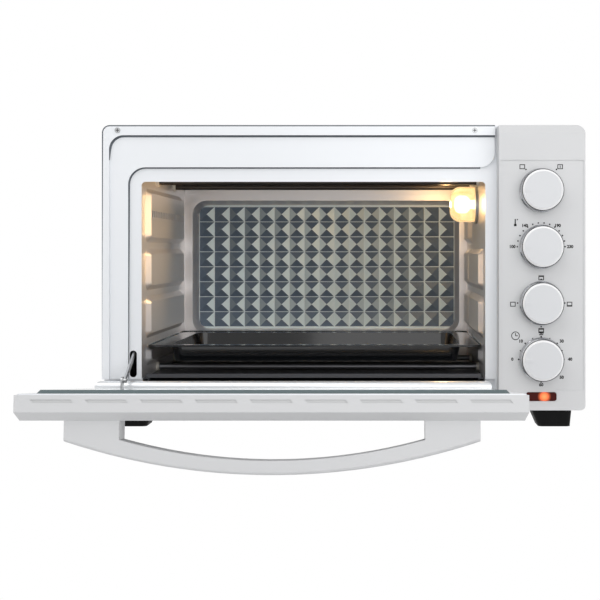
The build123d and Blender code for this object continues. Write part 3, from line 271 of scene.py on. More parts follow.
def grain_group():
    """Node group: a fine satin grain as a roughness and a height."""
    name = "Satin Grain"
    if name in bpy.data.node_groups:
        return bpy.data.node_groups[name]
    group, entry, leave = new_group(
        name, (("Scale", "Float"), ("Stretch", "Float"), ("Roughness", "Float"), ("Spread", "Float")),
        (("Roughness", "Float"), ("Height", "Float")))
    nodes, links = group.nodes, group.links
    place = nodes.new("ShaderNodeTexCoord")
    stretch = nodes.new("ShaderNodeCombineXYZ")
    stretch.inputs["Y"].default_value = 1.0
    stretch.inputs["Z"].default_value = 1.0
    scaled = vector_node(nodes, "MULTIPLY")
    noise = nodes.new("ShaderNodeTexNoise")
    noise.inputs["Detail"].default_value = 3.0
    spread = math_node(nodes, "MULTIPLY_ADD")
    centre = math_node(nodes, "SUBTRACT")
    centre.inputs[1].default_value = 0.5
    links.new(entry.outputs["Stretch"], stretch.inputs["X"])
    links.new(place.outputs["Object"], scaled.inputs[0])
    links.new(stretch.outputs["Vector"], scaled.inputs[1])
    links.new(scaled.outputs["Vector"], noise.inputs["Vector"])
    links.new(entry.outputs["Scale"], noise.inputs["Scale"])
    links.new(noise.outputs["Fac"], centre.inputs[0])
    links.new(centre.outputs[0], spread.inputs[0])
    links.new(entry.outputs["Spread"], spread.inputs[1])
    links.new(entry.outputs["Roughness"], spread.inputs[2])
    links.new(spread.outputs[0], leave.inputs["Roughness"])
    links.new(noise.outputs["Fac"], leave.inputs["Height"])
    return group


def plain_material(name, base, roughness, metallic=0.0):
    """A material with plain sockets, and its shader."""
    material = bpy.data.materials.get(name) or bpy.data.materials.new(name)
    material.use_nodes = True
    shader = material.node_tree.nodes["Principled BSDF"]
    shader.inputs["Base Color"].default_value = (*base, 1.0)
    shader.inputs["Roughness"].default_value = roughness
    shader.inputs["Metallic"].default_value = metallic
    return material, shader


def grained_material(name, base, roughness, metallic=0.0, spread=0.1, bump=0.02, stretch=1.0, scale=None):
    """A material with the satin grain in its roughness and relief."""
    material, shader = plain_material(name, base, roughness, metallic)
    tree = material.node_tree
    if "Grain" in tree.nodes:
        return material, shader
    grain = tree.nodes.new("ShaderNodeGroup")
    grain.name = "Grain"
    grain.node_tree = grain_group()
    grain.inputs["Scale"].default_value = scale or settings().finish.grain_scale
    grain.inputs["Stretch"].default_value = stretch
    grain.inputs["Roughness"].default_value = roughness
    grain.inputs["Spread"].default_value = spread
    relief = tree.nodes.new("ShaderNodeBump")
    relief.inputs["Strength"].default_value = bump
    relief.inputs["Distance"].default_value = 0.0003
    tree.links.new(grain.outputs["Roughness"], shader.inputs["Roughness"])
    tree.links.new(grain.outputs["Height"], relief.inputs["Height"])
    tree.links.new(relief.outputs["Normal"], shader.inputs["Normal"])
    return material, shader


def facing_group():
    """Node group: mixes a second colour in where a surface faces a direction, for painted light and painted
    shade.
    """
    name = "Facing Tone"
    if name in bpy.data.node_groups:
        return bpy.data.node_groups[name]
    group, entry, leave = new_group(
        name, (("Colour", "Color"), ("Facing Colour", "Color"), ("Direction", "Vector"), ("From", "Float"),
               ("To", "Float")), (("Colour", "Color"),))
    nodes, links = group.nodes, group.links
    place = nodes.new("ShaderNodeTexCoord")
    along = vector_node(nodes, "DOT_PRODUCT")
    ramp = nodes.new("ShaderNodeMapRange")
    mix = colour_mix(nodes)
    links.new(place.outputs["Normal"], along.inputs[0])
    links.new(entry.outputs["Direction"], along.inputs[1])
    links.new(along.outputs["Value"], ramp.inputs["Value"])
    links.new(entry.outputs["From"], ramp.inputs["From Min"])
    links.new(entry.outputs["To"], ramp.inputs["From Max"])
    links.new(ramp.outputs["Result"], mix.inputs["Factor"])
    links.new(entry.outputs["Colour"], mix.inputs[MIX_FIRST])
    links.new(entry.outputs["Facing Colour"], mix.inputs[MIX_SECOND])
    links.new(mix.outputs[MIX_RESULT], leave.inputs["Colour"])
    return group


def cross_group():
    """Node group: lights the side facets that look towards the plate's middle."""
    name = "Cross Light"
    if name in bpy.data.node_groups:
        return bpy.data.node_groups[name]
    group, entry, leave = new_group(
        name, (("Dark", "Color"), ("Light", "Color"), ("Middle", "Float"), ("Half Width", "Float")),
        (("Colour", "Color"),))
    nodes, links = group.nodes, group.links
    coordinates = nodes.new("ShaderNodeTexCoord")
    normal = nodes.new("ShaderNodeSeparateXYZ")
    place = nodes.new("ShaderNodeSeparateXYZ")
    steepness = math_node(nodes, "ABSOLUTE")
    from_middle = math_node(nodes, "SUBTRACT")
    share = math_node(nodes, "DIVIDE")
    outward = math_node(nodes, "MULTIPLY")
    inward = math_node(nodes, "SUBTRACT")
    ramp = nodes.new("ShaderNodeMapRange")
    ramp.inputs["From Min"].default_value = 0.04
    ramp.inputs["From Max"].default_value = 0.36
    mix = colour_mix(nodes)
    links.new(coordinates.outputs["Normal"], normal.inputs["Vector"])
    links.new(coordinates.outputs["Object"], place.inputs["Vector"])
    links.new(normal.outputs["X"], steepness.inputs[0])
    links.new(place.outputs["X"], from_middle.inputs[0])
    links.new(entry.outputs["Middle"], from_middle.inputs[1])
    links.new(from_middle.outputs[0], share.inputs[0])
    links.new(entry.outputs["Half Width"], share.inputs[1])
    links.new(normal.outputs["X"], outward.inputs[0])
    links.new(share.outputs[0], outward.inputs[1])
    links.new(steepness.outputs[0], inward.inputs[0])
    links.new(outward.outputs[0], inward.inputs[1])
    links.new(inward.outputs[0], ramp.inputs["Value"])
    links.new(ramp.outputs["Result"], mix.inputs["Factor"])
    links.new(entry.outputs["Dark"], mix.inputs[MIX_FIRST])
    links.new(entry.outputs["Light"], mix.inputs[MIX_SECOND])
    links.new(mix.outputs[MIX_RESULT], leave.inputs["Colour"])
    return group


def tone_by_facing(material, base, tone, direction, start, end):
    """Gives a material a second colour where it faces a direction, as painted light and painted shade."""
    tree = material.node_tree
    shader = tree.nodes["Principled BSDF"]
    label = f"Facing {direction}"
    if label in tree.nodes:
        return
    facing = tree.nodes.new("ShaderNodeGroup")
    facing.name = label
    facing.node_tree = facing_group()
    before = shader.inputs["Base Color"]
    if before.is_linked:
        tree.links.new(before.links[0].from_socket, facing.inputs["Colour"])
    else:
        facing.inputs["Colour"].default_value = (*base, 1.0)
    facing.inputs["Facing Colour"].default_value = (*tone, 1.0)
    facing.inputs["Direction"].default_value = direction
    facing.inputs["From"].default_value = start
    facing.inputs["To"].default_value = end
    tree.links.new(facing.outputs["Colour"], before)


def panel_plastic():
    """Light grey moulded plastic of the panel, door and handle."""
    material, shader = grained_material("Panel Plastic", settings().finish.panel, 0.42, spread=0.08,
                                        bump=0.03)
    shader.inputs["Coat Weight"].default_value = 0.08
    return material


def fascia_plastic():
    """Light grey moulded plastic of the control fascia, a lighter copy of the panel plastic with painted
    light.
    """
    return grained_material("Fascia Plastic", (0.65, 0.655, 0.665), 0.42, spread=0.08, bump=0.01)[0]


def front_steel():
    """Pale coated steel of the pressed front."""
    return grained_material("Front Steel", settings().finish.front, 0.30, metallic=0.1, spread=0.04,
                            bump=0.001)[0]


def cover_steel():
    """Coated sheet steel of the cover, with painted shade on its front edge, where the faces turn to the
    front.
    """
    material = grained_material("Cover Steel", settings().finish.cover, 0.45, metallic=0.1, bump=0.004)[0]
    # Painted shade: the faces that turn to the front go dark, for the shade in the gap round the frame
    tone_by_facing(material, settings().finish.cover, (0.10, 0.11, 0.12), (0, -1, 0), 0.90, 0.98)
    return material


def zinc_steel():
    """Bare plated sheet of hidden parts."""
    return grained_material("Zinc Steel", (0.55, 0.56, 0.57), 0.38, metallic=1.0)[0]


def cavity_steel():
    """Plated steel of the cavity."""
    return grained_material("Cavity Steel", settings().finish.cavity, 0.34, metallic=0.7, spread=0.12,
                            bump=0.02, stretch=0.2, scale=500.0)[0]


def back_steel():
    """The back plate's plated steel: dark with painted shade, painted light on the side facets that turn
    towards the plate's middle, and painted highlight on the flat lines between the pyramids.
    """
    finish = settings().finish
    material, shader = grained_material("Back Plate Steel", finish.shaded_facet, 0.40, metallic=0.12, bump=0.002)
    tree = material.node_tree
    if "Cross Light" not in tree.nodes:
        cross = tree.nodes.new("ShaderNodeGroup")
        cross.name = "Cross Light"
        cross.node_tree = cross_group()
        cross.inputs["Dark"].default_value = (*finish.shaded_facet, 1.0)
        cross.inputs["Light"].default_value = (*finish.lit_facet, 1.0)
        cross.inputs["Middle"].default_value = middle("diamond_plate").x
        cross.inputs["Half Width"].default_value = high("diamond_plate").x - middle("diamond_plate").x
        tree.links.new(cross.outputs["Colour"], shader.inputs["Base Color"])
        # Painted highlight on the flat lines between the pyramids, which face the front
        tone_by_facing(material, finish.shaded_facet, (0.85, 0.97, 1.0), (0, -1, 0), 0.985, 0.998)
    return material


def chrome():
    """Bright chrome."""
    return plain_material("Bright Chrome", (0.50, 0.51, 0.53), 0.12, 1.0)[0]


def shade_ring_metal():
    """Dark smoked metal of the thin ring round a knob's cap, painted shade for the dark edge round the cap.
    """
    return plain_material("Knob Shade Ring", (0.045, 0.048, 0.055), 0.3, 0.3)[0]


def knob_plastic():
    """Satin white plastic of the knobs, with a painted highlight on the cap's bevel and sides, where they
    turn away from the front.
    """
    material = grained_material("Knob Plastic", settings().finish.knob, 0.30, spread=0.05, bump=0.002)[0]
    # Painted highlight where the cap turns away from the front
    tone_by_facing(material, settings().finish.knob, (0.95, 0.95, 0.96), (0, -1, 0), 0.97, 0.85)
    return material


def black_enamel():
    """Glossy black enamel."""
    material, shader = plain_material("Black Enamel", (0.008, 0.009, 0.011), 0.10)
    shader.inputs["Coat Weight"].default_value = 0.25
    shader.inputs["Coat Roughness"].default_value = 0.04
    return material


def dark_plastic_and_shade():
    """Dull dark plastic of the controls, also the painted shade of the screw crosses."""
    return grained_material("Dark Plastic And Shade", (0.03, 0.03, 0.032), 0.55)[0]


def foot_rubber():
    """Black rubber of the feet."""
    material, shader = grained_material("Foot Rubber", (0.004, 0.004, 0.004), 0.6, bump=0.01)
    shader.inputs["Specular IOR Level"].default_value = 0.15
    return material


def heater_steel(name, base):
    """Steel of the heater tubes, which the upper and lower tubes copy with painted shade and painted sheen.
    """
    return grained_material(name, base, 0.34, metallic=0.8, bump=0.003)[0]


def upper_heater_shaded_steel():
    """Steel of the upper tubes, dark with painted shade under the roof."""
    return heater_steel("Upper Heater Shaded Steel", (0.07, 0.06, 0.055))


def lower_heater_lit_steel():
    """Steel of the lower tubes, made paler with a painted sheen."""
    return heater_steel("Lower Heater Lit Steel", (0.30, 0.30, 0.32))


def crumb_metal():
    """Dull dark metal of the crumb tray and the cavity's floor."""
    return grained_material("Crumb Tray Metal", (0.07, 0.072, 0.08), 0.38, metallic=0.5, bump=0.004)[0]


def white_ceramic():
    """Dull white ceramic."""
    return grained_material("White Ceramic", (0.80, 0.76, 0.68), 0.6)[0]


def rail_metal():
    """Bright aluminium of the door's lower rail."""
    return plain_material("Rail Aluminium", (0.84, 0.86, 0.88), 0.22, 0.5)[0]


def print_ink():
    """Black ink of the prints."""
    return plain_material("Print Ink", (0.006, 0.006, 0.006), 0.7)[0]


def glass_material(name, tint, roughness=0.02):
    """A clear glass with a tint, and its shader."""
    material, shader = plain_material(name, tint, roughness)
    shader.inputs["Transmission Weight"].default_value = 1.0
    shader.inputs["IOR"].default_value = 1.45
    return material, shader


def window_glass():
    """Dark glass of the door's window."""
    return glass_material("Window Glass", (0.10, 0.11, 0.12))[0]


def pane_glass():
    """Half clear grey-green glass of the door's inner pane."""
    material, shader = plain_material("Inner Pane Glass", (0.16, 0.21, 0.22), 0.05)
    shader.inputs["Transmission Weight"].default_value = 0.35
    return material


def lamp_dome():
    """Warm glass of the oven lamp, with a faint glow of its own."""
    material, shader = glass_material("Lamp Glass", (1.0, 0.96, 0.90), 0.12)
    shader.inputs["Emission Color"].default_value = (*settings().finish.glow, 1.0)
    shader.inputs["Emission Strength"].default_value = 0.28
    return material


def glowing_material(name, base, glow, strength, roughness=0.4):
    """A surface that shines by itself, and its shader."""
    material, shader = plain_material(name, base, roughness)
    shader.inputs["Emission Color"].default_value = (*glow, 1.0)
    shader.inputs["Emission Strength"].default_value = strength
    return material, shader


def bulb_glow():
    """The lit bulb in the oven lamp."""
    return glowing_material("Bulb Glow", (1.0, 0.9, 0.7), (1.0, 0.80, 0.50), 2.2)[0]


def neon_glow():
    """The lit neon behind the indicator's lens."""
    return glowing_material("Neon Glow", (1.0, 0.3, 0.1), (1.0, 0.25, 0.06), 4.0)[0]


def lens_red():
    """The indicator's dark red lens, lit by a soft spot before the neon."""
    material, shader = glowing_material("Indicator Lens", (0.045, 0.002, 0.002), (1.0, 0.20, 0.07), 2.2,
                                        roughness=0.5)
    shader.inputs["Specular IOR Level"].default_value = 0.15
    glow_near(material, middle("indicator_neon"), 7.5 * MM)
    return material


def spot_group():
    """Node group: a soft spot round a place."""
    name = "Soft Spot"
    if name in bpy.data.node_groups:
        return bpy.data.node_groups[name]
    group, entry, leave = new_group(
        name, (("Glow", "Color"), ("Place", "Vector"), ("Radius", "Float")), (("Glow", "Color"),))
    nodes, links = group.nodes, group.links
    place = nodes.new("ShaderNodeTexCoord")
    offset = vector_node(nodes, "SUBTRACT")
    level = vector_node(nodes, "MULTIPLY")
    level.inputs[1].default_value = (1.0, 0.0, 1.0)
    away = vector_node(nodes, "LENGTH")
    ramp = nodes.new("ShaderNodeMapRange")
    ramp.interpolation_type = "SMOOTHSTEP"
    ramp.inputs["To Min"].default_value = 1.0
    ramp.inputs["To Max"].default_value = 0.004
    mix = colour_mix(nodes)
    mix.inputs[MIX_FIRST].default_value = (0.0, 0.0, 0.0, 1.0)
    links.new(place.outputs["Object"], offset.inputs[0])
    links.new(entry.outputs["Place"], offset.inputs[1])
    links.new(offset.outputs["Vector"], level.inputs[0])
    links.new(level.outputs["Vector"], away.inputs[0])
    links.new(away.outputs["Value"], ramp.inputs["Value"])
    links.new(entry.outputs["Radius"], ramp.inputs["From Max"])
    links.new(ramp.outputs["Result"], mix.inputs["Factor"])
    links.new(entry.outputs["Glow"], mix.inputs[MIX_SECOND])
    links.new(mix.outputs[MIX_RESULT], leave.inputs["Glow"])
    return group


def glow_near(material, place, radius):
    """Limits a material's glow to a soft spot."""
    tree = material.node_tree
    shader = tree.nodes["Principled BSDF"]
    spot = tree.nodes.new("ShaderNodeGroup")
    spot.node_tree = spot_group()
    spot.inputs["Glow"].default_value = shader.inputs["Emission Color"].default_value
    spot.inputs["Place"].default_value = place
    spot.inputs["Radius"].default_value = radius
    tree.links.new(spot.outputs["Glow"], shader.inputs["Emission Color"])


def paint(material, *nodes):
    """Gives CAD nodes one material."""
    for name in nodes:
        for slot in frame["nodes"][name].material_slots:
            slot.material = material


def mesh_from(name, shape):
    """The mesh of a finished bmesh, which is freed."""
    mesh = bpy.data.meshes.new(name)
    shape.to_mesh(mesh)
    shape.free()
    return mesh


def block_mesh(name, size, centre):
    """A box of a size about a centre."""
    shape = bmesh.new()
    bmesh.ops.create_cube(shape, size=1.0)
    bmesh.ops.scale(shape, vec=size, verts=shape.verts)
    bmesh.ops.translate(shape, vec=centre, verts=shape.verts)
    return mesh_from(name, shape)


def joined(name, meshes, place):
    """One mesh made of several, moved to a place."""
    shape = bmesh.new()
    for mesh in meshes:
        shape.from_mesh(mesh)
        bpy.data.meshes.remove(mesh)
    whole = mesh_from(name, shape)
    whole.transform(Matrix.Translation(place))
    return whole


def skin(shape, rows):
    """Faces between neighbouring rows of points, where each row is a closed loop."""
    faces = []
    for one, other in zip(rows, rows[1:]):
        for a, b, c, d in zip(one, one[1:] + one[:1], other[1:] + other[:1], other):
            faces.append(shape.faces.new((a, b, c, d)))
    return faces


def evaluated_mesh(carrier):
    """The plain mesh that a helper object makes. The helper is linked for it, then removed."""
    bpy.context.scene.collection.objects.link(carrier)
    bpy.context.view_layer.update()
    ready = carrier.evaluated_get(bpy.context.evaluated_depsgraph_get())
    mesh = bpy.data.meshes.new_from_object(ready)
    bpy.data.objects.remove(carrier)
    return mesh


def new_piece(name, mesh, material, body):
    """Links a mesh as a piece that rides on a body."""
    piece = bpy.data.objects.new(name, mesh)
    bpy.context.scene.collection.objects.link(piece)
    piece.data.materials.clear()
    piece.data.materials.append(material)
    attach(piece, body)


class OvenOperator(bpy.types.Operator):
    """Shared base of the oven's operators."""
    bl_idname = "mini_oven.base"
    bl_label = "Base"
    bl_options = {"REGISTER", "UNDO"}


class FinishCabinet(OvenOperator):
    """Gives the cover, front, fascia, feet and hidden sheets their finishes"""
    bl_idname = "mini_oven.finish_cabinet"
    bl_label = "Finish Cabinet"

    def execute(self, context):
        paint(cover_steel(), "outer_cover")
        paint(front_steel(), "front_frame")
        paint(fascia_plastic(), "control_fascia")
        paint(zinc_steel(), "rear_panel", "base_panel", "heat_shield", "control_plate", "frame_screws",
              "cover_screws", "left_hinge_bracket", "right_hinge_bracket")
        paint(foot_rubber(), "front_left_foot", "front_right_foot", "rear_left_foot", "rear_right_foot")
        paint(dark_plastic_and_shade(), "cord_inlet", *KNOBS)
        return {"FINISHED"}


class FinishCavity(OvenOperator):
    """Gives the cavity, heaters and trays their finishes"""
    bl_idname = "mini_oven.finish_cavity"
    bl_label = "Finish Cavity"

    def execute(self, context):
        paint(cavity_steel(), "cavity_left_wall", "cavity_right_wall", "cavity_roof", "cavity_back")
        paint(back_steel(), "diamond_plate")
        paint(upper_heater_shaded_steel(), "upper_front_heater", "upper_rear_heater")
        paint(lower_heater_lit_steel(), "lower_front_heater", "lower_rear_heater")
        paint(white_ceramic(), "heater_insulators")
        paint(black_enamel(), "baking_tray")
        paint(crumb_metal(), "crumb_tray", "cavity_floor")
        return {"FINISHED"}


class FinishDoor(OvenOperator):
    """Gives the door, handle and link their finishes"""
    bl_idname = "mini_oven.finish_door"
    bl_label = "Finish Door"

    def execute(self, context):
        paint(panel_plastic(), "door_casing", "door_handle")
        paint(front_steel(), "door_inner_panel")
        paint(window_glass(), "door_window")
        paint(pane_glass(), "door_inner_glass")
        paint(rail_metal(), "door_bottom_rail")
        paint(zinc_steel(), "handle_screws", "hinge_pins", "link_ear", "stay_link")
        return {"FINISHED"}


class FinishKnobs(OvenOperator):
    """Gives the knobs, rings and spindles their finishes"""
    bl_idname = "mini_oven.finish_knobs"
    bl_label = "Finish Knobs"

    def execute(self, context):
        for kind in KNOBS:
            paint(knob_plastic(), f"{kind}_knob")
            paint(chrome(), f"{kind}_knob_ring")
            paint(zinc_steel(), f"{kind}_spindle")
        return {"FINISHED"}


class FinishLights(OvenOperator):
    """Gives the oven lamp, the indicator and its neon their glass and glow"""
    bl_idname = "mini_oven.finish_lights"
    bl_label = "Finish Lights"

    def execute(self, context):
        paint(lamp_dome(), "lamp_glass")
        paint(bulb_glow(), "lamp_bulb")
        paint(zinc_steel(), "lamp_holder")
        paint(lens_red(), "indicator_lens")
        paint(neon_glow(), "indicator_neon")
        return {"FINISHED"}


def dot_ring_tree():
    """Geometry nodes: a ring of flat round dots about the origin, facing -Y."""
    name = "Dot Ring"
    if name in bpy.data.node_groups:
        return bpy.data.node_groups[name]
    tree, entry, leave = new_group(
        name, (("Count", "Int"), ("Ring Radius", "Float"), ("Dot Radius", "Float"), ("Ink Height", "Float"),
               ("Start Angle", "Float"), ("Step Angle", "Float"), ("Material", "Material")),
        (("Geometry", "Geometry"),), "GeometryNodeTree")
    nodes, links = tree.nodes, tree.links
    points = nodes.new("GeometryNodePoints")
    index = nodes.new("GeometryNodeInputIndex")
    angle = math_node(nodes, "MULTIPLY_ADD")
    place = nodes.new("ShaderNodeCombineXYZ")
    dot = nodes.new("GeometryNodeMeshCylinder")
    dot.inputs["Vertices"].default_value = DOT_SIDES
    turned = nodes.new("GeometryNodeTransform")
    turned.inputs["Rotation"].default_value = (math.pi / 2, 0, 0)
    copies = nodes.new("GeometryNodeInstanceOnPoints")
    real = nodes.new("GeometryNodeRealizeInstances")
    coat = nodes.new("GeometryNodeSetMaterial")
    links.new(entry.outputs["Count"], points.inputs["Count"])
    links.new(index.outputs["Index"], angle.inputs[0])
    links.new(entry.outputs["Step Angle"], angle.inputs[1])
    links.new(entry.outputs["Start Angle"], angle.inputs[2])
    for operation, axis in (("COSINE", "X"), ("SINE", "Z")):
        wave = math_node(nodes, operation)
        reach = math_node(nodes, "MULTIPLY")
        links.new(angle.outputs[0], wave.inputs[0])
        links.new(wave.outputs[0], reach.inputs[0])
        links.new(entry.outputs["Ring Radius"], reach.inputs[1])
        links.new(reach.outputs[0], place.inputs[axis])
    links.new(place.outputs["Vector"], points.inputs["Position"])
    links.new(entry.outputs["Dot Radius"], dot.inputs["Radius"])
    links.new(entry.outputs["Ink Height"], dot.inputs["Depth"])
    links.new(dot.outputs["Mesh"], turned.inputs["Geometry"])
    links.new(points.outputs["Points"], copies.inputs["Points"])
    links.new(turned.outputs["Geometry"], copies.inputs["Instance"])
    links.new(copies.outputs["Instances"], real.inputs["Geometry"])
    links.new(real.outputs["Geometry"], coat.inputs["Geometry"])
    links.new(entry.outputs["Material"], coat.inputs["Material"])
    links.new(coat.outputs["Geometry"], leave.inputs["Geometry"])
    return tree


def dot_ring(count, radius, start, step, ring=None):
    """A mesh of evenly spaced dots; angles in radians, counted from 3 o'clock."""
    prints = settings().prints
    tree = dot_ring_tree()
    carrier = bpy.data.objects.new("dots", bpy.data.meshes.new("dots"))
    modifier = carrier.modifiers.new("Dots", "NODES")
    modifier.node_group = tree
    values = {"Count": count, "Ring Radius": ring or prints.dot_ring, "Dot Radius": radius,
              "Ink Height": prints.ink_height, "Start Angle": start, "Step Angle": step,
              "Material": print_ink()}
    for item in tree.interface.items_tree:
        if item.in_out == "INPUT":
            modifier[item.identifier] = values[item.name]
    return evaluated_mesh(carrier)


def text_mesh(words, size):
    """A number as a thin solid that faces -Y, centred on the origin."""
    curve = bpy.data.curves.new("words", "FONT")
    curve.body = words
    curve.size = size
    curve.align_x = "CENTER"
    curve.align_y = "CENTER"
    curve.extrude = settings().prints.ink_height / 2
    curve.resolution_u = TEXT_CURVE_STEPS
    curve.offset = size * TEXT_WEIGHT
    mesh = evaluated_mesh(bpy.data.objects.new("words", curve))
    mesh.transform(Matrix.Rotation(math.pi / 2, 4, "X"))
    return mesh


def bar_mesh(x0, x1, z0, z1):
    """A flat printed bar between two corners."""
    size = (x1 - x0, settings().prints.ink_height, z1 - z0)
    return block_mesh("bar", size, ((x0 + x1) / 2, 0, (z0 + z1) / 2))


def frame_symbol(width, tall, top=1.0, bottom=1.0):
    """A printed box outline; top and bottom say how thick those lines are."""
    line = settings().prints.line_width
    half, up = width / 2, tall / 2
    return [bar_mesh(-half, -half + line, -up, up), bar_mesh(half - line, half, -up, up),
            bar_mesh(-half, half, up - line * top, up), bar_mesh(-half, half, -up, -up + line * bottom)]


def round_symbol(radius):
    """A printed clock: a ring with two hands."""
    line = settings().prints.line_width
    half_ink = settings().prints.ink_height / 2
    inner = radius - line
    section = ((radius, -half_ink), (inner, -half_ink), (inner, half_ink), (radius, half_ink))
    turns = [2 * math.pi * i / CLOCK_STEPS for i in range(CLOCK_STEPS)]
    shape = bmesh.new()
    rings = [[shape.verts.new((reach * math.cos(turn), y, reach * math.sin(turn))) for turn in turns]
             for reach, y in section]
    skin(shape, rings + rings[:1])
    bmesh.ops.recalc_face_normals(shape, faces=shape.faces)
    return [mesh_from("clock", shape), bar_mesh(-line / 2, line / 2, 0, radius * LONG_HAND),
            bar_mesh(0, radius * SHORT_HAND, -line / 2, line / 2)]


def thermometer():
    """A printed thermometer: a stem, its bulb and a degree mark."""
    return [bar_mesh(-0.6 * MM, 0.6 * MM, -2.6 * MM, 3.4 * MM),
            bar_mesh(-1.3 * MM, 1.3 * MM, -4.0 * MM, -1.6 * MM),
            bar_mesh(1.6 * MM, 2.8 * MM, 2.2 * MM, 3.4 * MM)]


def moved(meshes, x, z):
    """Meshes moved in the plane of the print."""
    for mesh in meshes:
        mesh.transform(Matrix.Translation((x, 0, z)))
    return meshes


def join_print(name, meshes, centre):
    """Joins meshes into one print on the panel about a knob's middle."""
    face_y = low("control_fascia").y + FASCIA_FACE_STEP - settings().prints.ink_height / 2
    new_piece(name, joined(name, meshes, (centre.x, face_y, centre.z)), print_ink(), "cabinet")


def on_ring(angle, side, up):
    """A place on an oval ring, by the clock: 0 is 9 o'clock and angles grow clockwise."""
    turn = math.pi - math.radians(angle)
    return side * math.cos(turn), up * math.sin(turn)


def numbers(words, first, step):
    """Numbers set round a knob, one every step degrees."""
    prints = settings().prints
    meshes = []
    for index, word in enumerate(words):
        if word:
            x, z = on_ring(first + step * index, prints.text_ring, prints.text_ring_up)
            meshes += moved([text_mesh(word, prints.text_size)], x, z)
    return meshes


class PrintDials(OvenOperator):
    """Prints the dots, numbers and plain symbols round the knobs"""
    bl_idname = "mini_oven.print_dials"
    bl_label = "Print Dials"

    def print_mode(self, big, wide, tall):
        """Two dots, and a box on each side, the right one with a tick."""
        step = math.radians(180 - 2 * MODE_DOT_ANGLE)
        marks = [dot_ring(2, big, math.pi - math.radians(MODE_DOT_ANGLE), -step, MODE_DOT_RING)]
        marks += moved(frame_symbol(wide, tall), -MODE_SYMBOL_SIDE, MODE_SYMBOL_UP)
        marks += moved(frame_symbol(wide, tall), MODE_SYMBOL_SIDE, MODE_SYMBOL_UP)
        half_width, half_height = MODE_TICK_WIDTH / 2, MODE_TICK_HEIGHT / 2
        tick = bar_mesh(-half_width, half_width, -half_height, half_height)
        marks += moved([tick], MODE_SYMBOL_SIDE, MODE_SYMBOL_UP)
        join_print("mode_print", marks, middle("mode_switch_knob"))

    def print_heat(self, big):
        """Dots over the upper half, temperatures and a thermometer."""
        step = 180 / (HEAT_DOTS - 1)
        words = {0: "100", 4: "140", 9: "190", 13: "230"}
        marks = [dot_ring(HEAT_DOTS, big, math.pi, -math.radians(step))]
        marks += numbers([words.get(index, "") for index in range(HEAT_DOTS)], 0, step)
        marks += moved(thermometer(), THERMOMETER_SIDE, THERMOMETER_UP)
        join_print("heat_print", marks, middle("thermostat_knob"))

    def print_choice(self, big, wide, tall):
        """Four dots, each with a box whose thick lines stand for the heaters in use."""
        marks = [dot_ring(4, big, math.pi, -math.pi / 2, CHOICE_DOT_RING)]
        lines = ((1, 1), (THICK_LINE, 1), (1, THICK_LINE), (THICK_LINE, THICK_LINE))
        for index, (top, bottom) in enumerate(lines):
            x, z = on_ring(90 * index, CHOICE_RING_SIDE, CHOICE_RING_UP)
            marks += moved(frame_symbol(wide, tall, top, bottom), x, z - CHOICE_DROP)
        join_print("choice_print", marks, middle("heat_switch_knob"))

    def print_time(self, big, small):
        """Minutes with a dot for each and a small one between, and a clock."""
        marks = [dot_ring(7, big, math.pi, -math.pi / 4, TIME_DOT_RING),
                 dot_ring(6, small, math.pi - math.pi / 8, -math.pi / 4, TIME_DOT_RING)]
        marks += numbers(["0", "10", "20", "30", "40", "50", "60"], 0, 45)
        marks += moved(round_symbol(CLOCK_RADIUS), CLOCK_SIDE, CLOCK_UP)
        join_print("time_print", marks, middle("timer_knob"))

    def execute(self, context):
        prints = settings().prints
        big, small = prints.dot_radius, prints.small_dot_radius
        wide = prints.symbol_size
        tall = wide * SYMBOL_RATIO
        self.print_mode(big, wide, tall)
        self.print_heat(big)
        self.print_choice(big, wide, tall)
        self.print_time(big, small)
        return {"FINISHED"}


def screw_slot(name, place, radius):
    """A flat dark cross on a screw's head on the cabinet, painted shade for the cross let into the head."""
    reach, half = radius * CROSS_REACH, radius * CROSS_HALF_WIDTH
    bars = [bar_mesh(-reach, reach, -half, half), bar_mesh(-half, half, -reach, reach)]
    new_piece(name, joined(name, bars, place), dark_plastic_and_shade(), "cabinet")


def bend_strip(name, path, corner, level, width, depth, material):
    """A pressed bend on the cabinet, along a path of three points in the front view."""
    points = rounded_path(path, corner)
    foot = points[0][1]
    shape = bmesh.new()
    rows = []
    for index, (x, z) in enumerate(points):
        before = points[max(0, index - 1)]
        after = points[min(len(points) - 1, index + 1)]
        run = Vector((after[0] - before[0], after[1] - before[1])).normalized()
        side = Vector((run.y, -run.x))
        reach = width * min(1.0, BEND_START + (z - foot) / BEND_FADE)
        row = []
        for step in range(BEND_STEPS + 1):
            turn = math.pi / 2 * step / BEND_STEPS
            out = reach * (1 - math.cos(turn))
            place = (x + side.x * out, level + depth * math.sin(turn), z + side.y * out)
            row.append(shape.verts.new(place))
        row.append(shape.verts.new((x, level + depth, z)))
        rows.append(row)
    skin(shape, rows)
    shape.faces.new(rows[0])
    shape.faces.new(list(reversed(rows[-1])))
    bmesh.ops.recalc_face_normals(shape, faces=shape.faces)
    new_piece(name, mesh_from(name, shape), material, "cabinet")


def rounded_path(path, corner):
    """The path's points, with its inner corner replaced by an arc."""
    before, here, after = path
    tip = Vector(here)
    one = (Vector(before) - tip).normalized() * corner
    two = (Vector(after) - tip).normalized() * corner
    centre = tip + one + two
    turns = [math.pi / 2 * step / CORNER_STEPS for step in range(CORNER_STEPS + 1)]
    arc = [tuple(centre - two * math.cos(turn) - one * math.sin(turn)) for turn in turns]
    return [before, *arc, after]


def vent_shade():
    """Plastic of the floor in the door's vent slots, slightly darker with painted shade."""
    return grained_material("Vent Floor", (0.56, 0.565, 0.57), 0.5, bump=0.003)[0]


def painted_bend_shade():
    """Painted shade and dark reflection on a tight pressed bend."""
    return grained_material("Bend Painted Shade", (0.13, 0.145, 0.165), 0.35, metallic=0.4, bump=0.002)[0]


